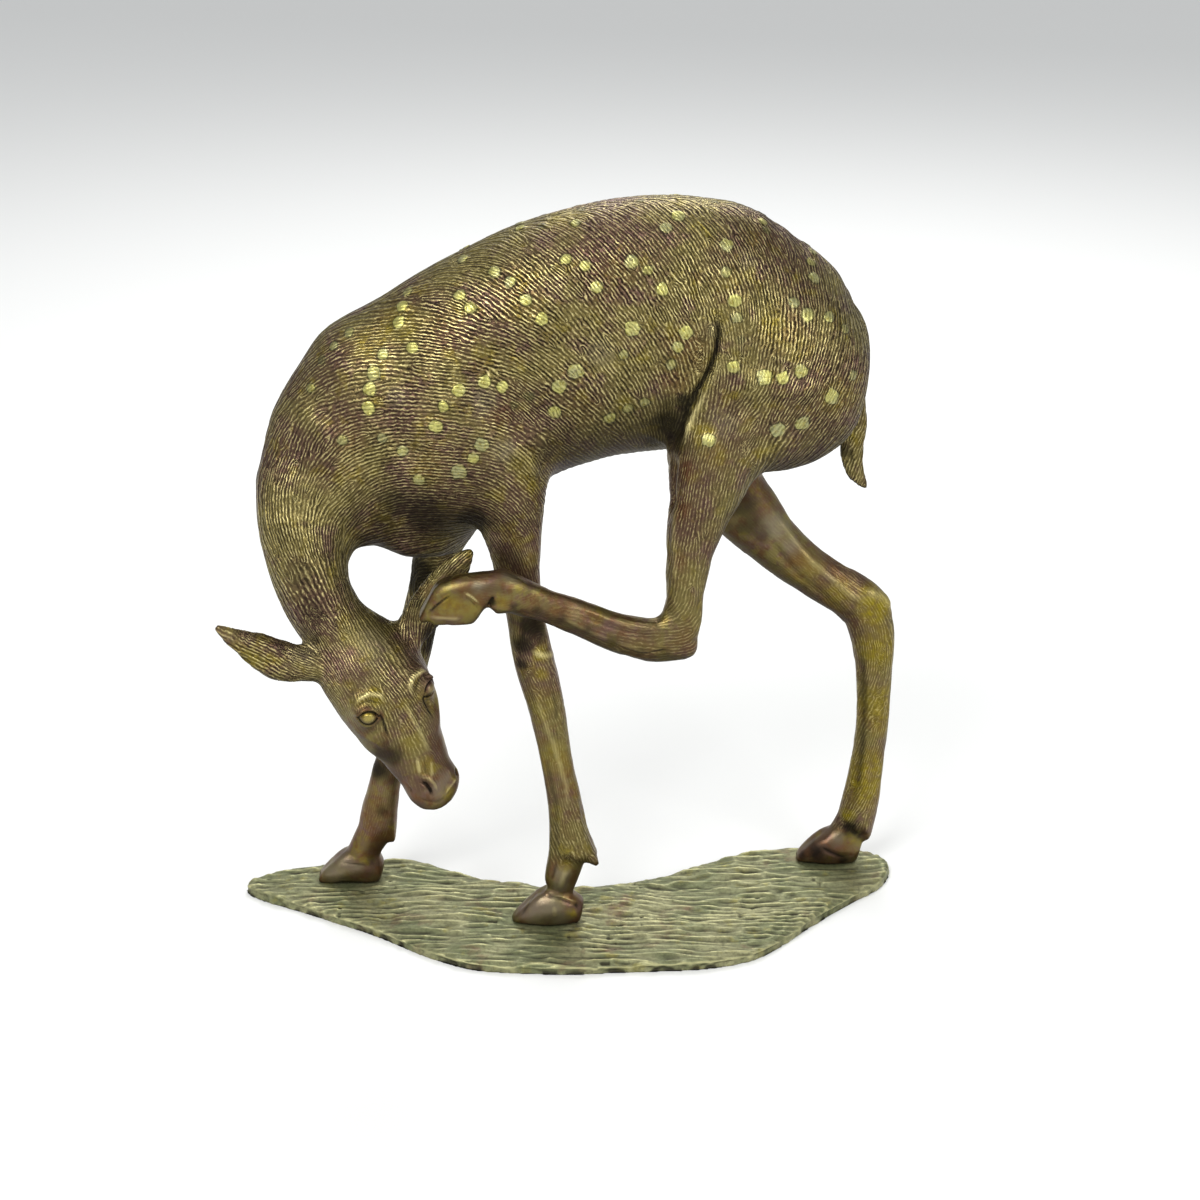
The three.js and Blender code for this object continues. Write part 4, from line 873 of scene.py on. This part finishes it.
    def settle_strands(self, way: np.ndarray) -> None:
        """Settles side by side locks that run with the hair.

        Each point holds an angle that grows by one turn for each lock. Neighbours agree on it
        step by step, so locks line up, fork and end as cut ones do.

        Args:
            way: Direction of the hair at each point.
        """
        skin = self.skin
        head = np.linalg.norm(skin.points - np.array(self.head.centre), axis=1)
        on_body = smoothstep(0.09, 0.14, head)
        gap = self.lock_gap * (1 + 0.12 * grain(skin.points, 0.04, 3)) * (0.9 + 0.1 * on_body)
        self.pace = np.cross(self.out, way) * (TURN / gap)[:, None]
        step = skin.points[skin.near] - skin.points[skin.far]
        turn = ((self.pace[skin.near] + self.pace[skin.far]) / 2 * step).sum(1)
        carry = np.exp(1j * turn)
        along = abs((unit(way[skin.near] + way[skin.far]) * unit(step)).sum(1))
        grip = 0.4 + along**2
        patch = 0.045  # width of the patches that start in step
        warp = np.stack([grain(skin.points, 0.05, seed) for seed in (51, 52, 53)], axis=1)
        warped = skin.points + 0.02 * warp
        centre = (np.floor(warped / patch) + 0.5) * patch
        self.state = np.exp(1j * (self.pace * (skin.points - centre)).sum(1))
        for _ in range(self.settling):
            to_near = self.state[skin.far] * carry * grip
            to_far = self.state[skin.near] * carry.conj() * grip
            real = skin.gather(to_near.real, to_far.real)
            summed = real + 1j * skin.gather(to_near.imag, to_far.imag)
            self.state = summed / np.maximum(abs(summed), 1e-9)

    def number_strands(self, obj: bpy.types.Object) -> None:
        """Gives each face corner its place across the strands, for the finish to draw them with.

        Args:
            obj: The thinned casting.
        """
        mesh = obj.data
        tree = KDTree(self.skin.count)
        for index, place in enumerate(self.skin.points.tolist()):
            tree.insert(place, index)
        tree.balance()
        points = np.empty(len(mesh.vertices) * 3)
        mesh.vertices.foreach_get("co", points)
        points = points.reshape(-1, 3)
        nearest = np.array([tree.find(place)[1] for place in points.tolist()])
        pace = self.pace[nearest]
        angle = np.angle(self.state[nearest]) + (pace * (points - self.skin.points[nearest])).sum(1)
        corners = np.empty(len(mesh.loops), np.int32)
        mesh.loops.foreach_get("vertex_index", corners)
        corners = corners.reshape(-1, 3)
        first = corners[:, 0]
        turns = np.empty(corners.shape)
        turns[:, 0] = wrap(angle[first])
        for k in (1, 2):
            other = corners[:, k]
            expected = ((pace[first] + pace[other]) / 2 * (points[other] - points[first])).sum(1)
            turns[:, k] = turns[:, 0] + expected + wrap(angle[other] - angle[first] - expected)
        store(obj, "strand", turns.ravel() / TURN, "CORNER")


def linear(code: str) -> tuple:
    """A hex colour as linear values.

    Args:
        code: Six hex digits of an sRGB colour.

    Returns:
        Red, green, blue and alpha for a colour socket.
    """
    parts = [int(code[i : i + 2], 16) / 255 for i in (0, 2, 4)]
    return (*[p / 12.92 if p <= 0.04045 else ((p + 0.055) / 1.055) ** 2.4 for p in parts], 1.0)


def add_node(
    tree: bpy.types.NodeTree, kind: str, links: dict | None = None, **settings: object
) -> bpy.types.Node:
    """Adds a shader node.

    Args:
        tree: The material's node tree.
        kind: The node's type, without its ShaderNode prefix.
        links: For each input, by name or number, a socket to link or a plain value.
        **settings: The node's own properties.

    Returns:
        The node.
    """
    node = tree.nodes.new("ShaderNode" + kind)
    for name, value in settings.items():
        setattr(node, name, value)
    for key, value in (links or {}).items():
        if isinstance(value, bpy.types.NodeSocket):
            tree.links.new(value, node.inputs[key])
        else:
            node.inputs[key].default_value = value
    return node


# Words for the steps of a finish: node type, output, inputs in the order a step gives them, inputs
# held unless the step gives them, and properties.
WORDS = {
    "noise": (
        "TexNoise", "Fac", ("Scale", "Detail"), {"Vector": "place", "Detail": 3.0, "Roughness": 0.6}, {},
    ),
    "span": ("MapRange", 0, (0, 1, 2, 3, 4), {3: 0.0, 4: 1.0}, {"clamp": True}),
    "mix": ("Mix", 2, (0, 6, 7), {}, {"data_type": "RGBA"}),
    "times": ("Math", 0, (0, 1), {}, {"operation": "MULTIPLY"}),
    "times_plus": ("Math", 0, (0, 1, 2), {}, {"operation": "MULTIPLY_ADD"}),
    "minus": ("Math", 0, (0, 1), {}, {"operation": "SUBTRACT"}),
    "larger": ("Math", 0, (0, 1), {}, {"operation": "MAXIMUM"}),
    "cosine": ("Math", 0, (0,), {}, {"operation": "COSINE"}),
}


@dataclass
class Finish:
    """A material made of steps.

    A step is a tuple of a word and its inputs. An input is a number, another step, the name of an
    attribute or an earlier step, or a hex colour.

    Args:
        name: The real material's name.
        reads: Mesh attributes that its steps use.
        steps: Named steps in order, among them metal, rough, and height from 0 to 1.
        coats: The lowest colour, then a factor and a colour for each coat over it.
        relief_mm: What a height of 1 stands for.
    """

    name: str
    reads: tuple
    steps: dict
    coats: tuple
    relief_mm: float
    tree: bpy.types.NodeTree = field(init=False)
    known: dict = field(init=False)

    def grow(self, value: object) -> object:
        """Adds the nodes of a step.

        Args:
            value: The step, or a plain input.

        Returns:
            Its output socket, or the plain value.
        """
        if isinstance(value, str):
            return self.known[value] if value in self.known else linear(value)
        if not isinstance(value, tuple):
            return value
        kind, output, keys, held, settings = WORDS[value[0]]
        inputs = held | dict(zip(keys, value[1:]))
        links = {key: self.grow(entry) for key, entry in inputs.items()}
        return add_node(self.tree, kind, links, **settings).outputs[output]

    def make(self) -> bpy.types.Material:
        """Builds the material.

        Returns:
            The material, ready for its piece.
        """
        material = bpy.data.materials.new(self.name)
        material.use_nodes = True
        self.tree = material.node_tree
        self.tree.nodes.clear()
        self.known = {"place": add_node(self.tree, "TexCoord").outputs["Object"]}
        for read in self.reads:
            self.known[read] = add_node(self.tree, "Attribute", attribute_name=read).outputs["Fac"]
        for name, step in self.steps.items():
            self.known[name] = self.grow(step)
        self.known["coat"] = self.grow(self.coats[0])
        for factor, color in self.coats[1:]:
            self.known["coat"] = self.grow(("mix", factor, "coat", color))
        relief = {"Strength": 1.0, "Distance": self.relief_mm * MM, "Height": self.known["height"]}
        links = {
            "Base Color": self.known["coat"],
            "Metallic": self.known["metal"],
            "Roughness": self.known["rough"],
            "Normal": add_node(self.tree, "Bump", relief).outputs[0],
        }
        shader = add_node(self.tree, "BsdfPrincipled", links)
        add_node(self.tree, "OutputMaterial", {"Surface": shader.outputs[0]})
        return material


@dataclass(frozen=True)
class CoatPatina:
    """Cast bronze under a brown and olive patina.

    The eye gets near-black grooves between thin hairs of painted highlight, greenish gold spots and rubs,
    painted shade in hollows and underneath, and a satin gloss.
    """

    name: str = "patinated_cast_bronze"
    olive: str = "75693e"
    brown: str = "5f4a3a"
    mauve: str = "6b5148"
    groove: str = "1b150e"
    # bright colour of the painted highlights on the hairs and along bright chased lines, partly rubbed bronze
    hair: str = "d9ca8c"
    spot: str = "c4c070"
    dull_spot: str = "a9a878"
    gold: str = "8c7c1e"
    rust: str = "63432a"
    pale: str = "857c68"
    shade: str = "14110d"

    def make(self) -> bpy.types.Material:
        """Builds the material.

        Returns:
            The material, which reads the casting's attributes.
        """
        reads = ("strand", "hair", "spot", "tone", "hollow", "under", *(tint.value for tint in Tint))
        steps = {
            # two strokes to each lock of 6.9 mm, as far apart as in the photo, with a little wobble
            "wobble": ("times", ("minus", ("noise", METRE / 6.5, 2), 0.5), 1.1),
            "wave": ("cosine", ("times", ("times_plus", "strand", 2.0, "wobble"), TURN)),
            # grooves come and go along the hair, and so does the painted highlight on the backs of the hairs
            "patchy": ("span", ("noise", METRE / 16, 2), 0.36, 0.60, 0.5, 1.0),
            "stroke": ("times", "patchy", ("span", ("noise", METRE / 4.4, 1), 0.68, 0.54)),
            "deep": ("times", ("times", ("span", "wave", 0.08, -0.62), "stroke"), "hair"),
            "glint": ("span", ("noise", METRE / 5.2, 2), 0.42, 0.60),
            "thin": ("times", ("times", ("span", "wave", 0.45, 0.95), "glint"), "hair"),
            "bare": ("span", "hair", 0.55, 0.1),
            # painted shadow in a thin ring at the edge of each raised spot
            "rim": ("times", ("span", "spot", 0.0, 0.3), ("span", "spot", 0.85, 0.4)),
            "dulled": ("mix", ("span", ("noise", METRE / 40), 0.42, 0.58), self.spot, self.dull_spot),
            "spotted": ("mix", ("span", ("noise", METRE / 2.4), 0.50, 0.68, 0.0, 0.75), "dulled", self.gold),
            # painted shade in hollows, where it is partly the patina's own dark, in the shade stains, on
            # undersides and along dark chased lines
            # painted shade and dark patina in hollows, and the painted shade stains
            "hidden": ("larger", ("span", "hollow", 0.8, 3.6, 0.0, 0.8), "dark"),
            # painted shade on undersides
            "turned_down": ("larger", "hidden", ("times", "under", 0.8)),
            "shaded": ("larger", "turned_down", ("span", "tone", -0.1, -0.7)),
            "metal": 0.9,
            "rough": (
                "larger",
                ("span", "deep", 0.0, 1.0, 0.36, 0.7),
                ("span", "shaded", 0.0, 1.0, 0.34, 0.62),
            ),
            "pores": ("times", ("noise", METRE / 1.6), 0.3),
            "height": ("times_plus", ("times", ("span", "wave", -1.0, 0.8), "hair"), 1.0, "pores"),
        }
        coats = (
            self.olive,
            (("span", ("noise", METRE / 85), 0.42, 0.60), self.brown),
            (("span", ("noise", METRE / 32), 0.52, 0.66, 0.0, 0.8), self.mauve),
            (("span", ("noise", METRE / 24), 0.55, 0.70, 0.0, 0.5), self.gold),
            (("times", "bare", ("span", ("noise", METRE / 14, 4), 0.48, 0.62, 0.0, 0.75)), self.rust),
            (("times", "bare", ("span", ("noise", METRE / 8, 4), 0.52, 0.66, 0.0, 0.45)), self.mauve),
            ("rust", self.rust),
            (("times", "pale", 0.8), self.pale),
            (("times", "gold", ("span", ("noise", METRE / 8), 0.35, 0.6, 0.35, 1.0)), self.gold),
            (("times", "spot", ("span", ("noise", METRE / 3.4), 0.3, 0.5, 0.55, 1.0)), "spotted"),
            # painted shadow round the spots
            (("times", "rim", 0.75), self.groove),
            # painted highlight and rubbed bronze where the tone is bright, then painted highlight on the
            # backs of the hairs
            (("span", "tone", 0.1, 0.9), self.hair),
            (("times", "thin", 0.85), self.hair),
            (("times", "deep", 0.93), self.groove),
            (("times", "shaded", 0.88), self.shade),
        )
        return Finish(self.name, reads, steps, coats, 0.5).make()


@dataclass
class GroundPlate:
    """The rippled ground that the hooves stand on."""

    voxel: float = 0.0018
    quick_voxel: float = 0.0024
    triangles: int = 170000
    ripple_gap: float = 0.0098
    hoof_reach: tuple = (0.039, 0.024)  # half sizes of the bare place under a hoof

    def build(self) -> bpy.types.Object:
        """Models the plate.

        Returns:
            The finished piece.
        """
        obj = copy_of_solid("ground_plate", "ground_casting")
        voxel = self.voxel
        add_modifier(obj, "REMESH", mode="VOXEL", voxel_size=voxel)
        skin = FineSkin(obj)
        skin.relax(6)
        out = unit(skin.spread(skin.normals(), 4))
        points = skin.points
        x, y, z = points.T
        stretched = points * np.array([0.32, 1.0, 1.0])
        warp = 0.012 * grain(points * np.array([0.6, 1, 1]), 0.08, 21)
        warp += 0.006 * grain(stretched, 0.016, 22)
        rows = (y + warp + 0.012 * np.sin(x / 0.11)) / self.ripple_gap
        ridged = 1 - abs(np.sin(math.pi * rows))
        patchy = 0.75 + 0.55 * grain(stretched, 0.020, 23)
        streaks = 1 - 2 * abs(grain(stretched, 0.0105, 24))
        fine = grain(points * np.array([0.28, 1.0, 1.0]), 0.0042, 27)
        pits = smoothstep(0.35, 0.8, grain(points, 0.007, 28))
        pits *= smoothstep(0.1, 0.6, grain(points, 0.04, 29))
        swell = grain(points, 0.06, 30)
        rise = 1.9 * (ridged**1.5 - 0.4) * patchy + 1.6 * streaks + 1.0 * fine + 1.3 * swell
        rise -= 1.8 * pits
        top = smoothstep(0.35, 0.85, out[:, 2])
        rim = smoothstep(0.75, 0.3, abs(out[:, 2]))
        for sole_x, sole_y, _ in HOOVES:
            away = np.hypot((x - sole_x) / self.hoof_reach[0], (y - sole_y) / self.hoof_reach[1])
            top = top * smoothstep(0.85, 1.2, away)
            rise += 0.9 * np.exp(-(((away - 1.25) / 0.16) ** 2))
        lift = (rise - 1.2) * top
        lumps = 2.0 * grain(points, 0.016, 25) + 1.4 * grain(points, 0.007, 26) - 1.5
        skin.points = points + out * ((lift + lumps * rim) * MM)[:, None]
        skin.points[:, 2] = np.maximum(skin.points[:, 2], 0)
        skin.points[z < 0.0012, 2] = 0
        skin.write()
        relief = ((skin.spread(skin.points, 8) - skin.points) * skin.normals()).sum(1) / MM
        store(obj, "groove", relief)
        thin_out(obj, self.triangles)
        LOG.info("plate has %d triangles", len(obj.data.polygons))
        return obj


@dataclass(frozen=True)
class GroundPatina:
    """Weathered bronze with a dull grey-green bloom, red-brown stains, dirt and painted shade in its hollows,
    and rubs with painted highlights on its ridges.
    """

    name: str = "weathered_cast_bronze"
    bloom: str = "8f8d68"
    green: str = "6f7350"
    rust: str = "6a4034"
    gold: str = "8c8440"
    dirt_and_crevice_shade: str = "2a261b"
    rub_and_ridge_highlight: str = "c4c08c"

    def make(self) -> bpy.types.Material:
        """Builds the material.

        Returns:
            The material, which reads the plate's grooves.
        """
        steps = {
            "metal": 0.6,
            "rough": ("span", "groove", -0.4, 0.5, 0.42, 0.7),
            "height": ("noise", METRE / 2.2, 4),
        }
        coats = (
            self.green,
            (("span", ("noise", METRE / 60), 0.40, 0.62), self.bloom),
            (("span", ("noise", METRE / 38), 0.58, 0.72, 0.0, 0.6), self.rust),
            (("span", ("noise", METRE / 21), 0.58, 0.70, 0.0, 0.6), self.gold),
            (("span", ("noise", METRE / 4, 4), 0.45, 0.7, 0.0, 0.45), self.dirt_and_crevice_shade),
            # painted shade in the grooves, partly dirt, and painted highlight on the ridges, partly rubbing
            (("span", "groove", 0.05, 0.75, 0.0, 0.85), self.dirt_and_crevice_shade),
            (("span", "groove", -0.2, -0.9, 0.0, 0.6), self.rub_and_ridge_highlight),
        )
        return Finish(self.name, ("groove",), steps, coats, 0.45).make()


@dataclass
class Studio:
    """A plain pale floor and soft light from large panels."""

    floor_size: float = 60.0
    floor_drop: float = 0.0006  # keeps the floor off the plate's underside
    aim: Vector = Vector((0, 0, 0.35))
    panels: tuple = (
        # name, place, size, watts
        ("key", (-1.5, -2.4, 3.0), 2.0, 90.0),
        ("fill", (2.2, -2.4, 1.9), 1.6, 34.0),
        ("back", (0.4, 2.4, 2.8), 2.0, 60.0),
    )

    def build(self) -> None:
        """Adds the floor, the panels and the room's own light."""
        bpy.ops.object.select_all(action="DESELECT")
        bpy.ops.mesh.primitive_plane_add(size=self.floor_size, location=(0, 0, -self.floor_drop))
        floor = bpy.context.object
        floor.name = "studio_floor"
        # Pale and matt, so that only soft shadows show on it.
        material = bpy.data.materials.new("matt_white_paper")
        material.use_nodes = True
        shader = material.node_tree.nodes["Principled BSDF"]
        shader.inputs["Base Color"].default_value = linear("efefed")
        shader.inputs["Roughness"].default_value = 0.9
        floor.data.materials.append(material)
        for name, place, size, watts in self.panels:
            light = bpy.data.lights.new(name, "AREA")
            light.size = size
            light.energy = watts
            lamp = bpy.data.objects.new(name, light)
            lamp.location = place
            lamp.rotation_euler = (self.aim - Vector(place)).to_track_quat("-Z", "Y").to_euler()
            bpy.context.scene.collection.objects.link(lamp)
        world = bpy.data.worlds.new("studio_air")
        world.use_nodes = True
        background = world.node_tree.nodes["Background"]
        background.inputs["Color"].default_value = (0.96, 0.98, 1.0, 1.0)
        background.inputs["Strength"].default_value = 0.62
        bpy.context.scene.world = world
        bpy.context.scene.view_settings.view_transform = "Standard"


def finish_piece(piece: bpy.types.Object, node: str, material: bpy.types.Material) -> None:
    """Dresses a piece and ties it to the frame.

    Args:
        piece: The finished mesh.
        node: The CAD node it stands for.
        material: Its finish.
    """
    piece.data.materials.append(material)
    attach(piece, "root")
    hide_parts(node)
    LOG.info("%s stands for %s", piece.name, node)


def main() -> None:
    """Builds the sculpture, its finishes and the studio."""
    logging.basicConfig(level=logging.INFO, format="%(name)s: %(message)s")
    view = PhotoView()
    view.make()
    Studio().build()
    finish_piece(GroundPlate().build(), "ground_plate", GroundPatina().make())
    finish_piece(DeerCasting(view).build(), "deer", CoatPatina().make())


if __name__ == "__main__":
    main()
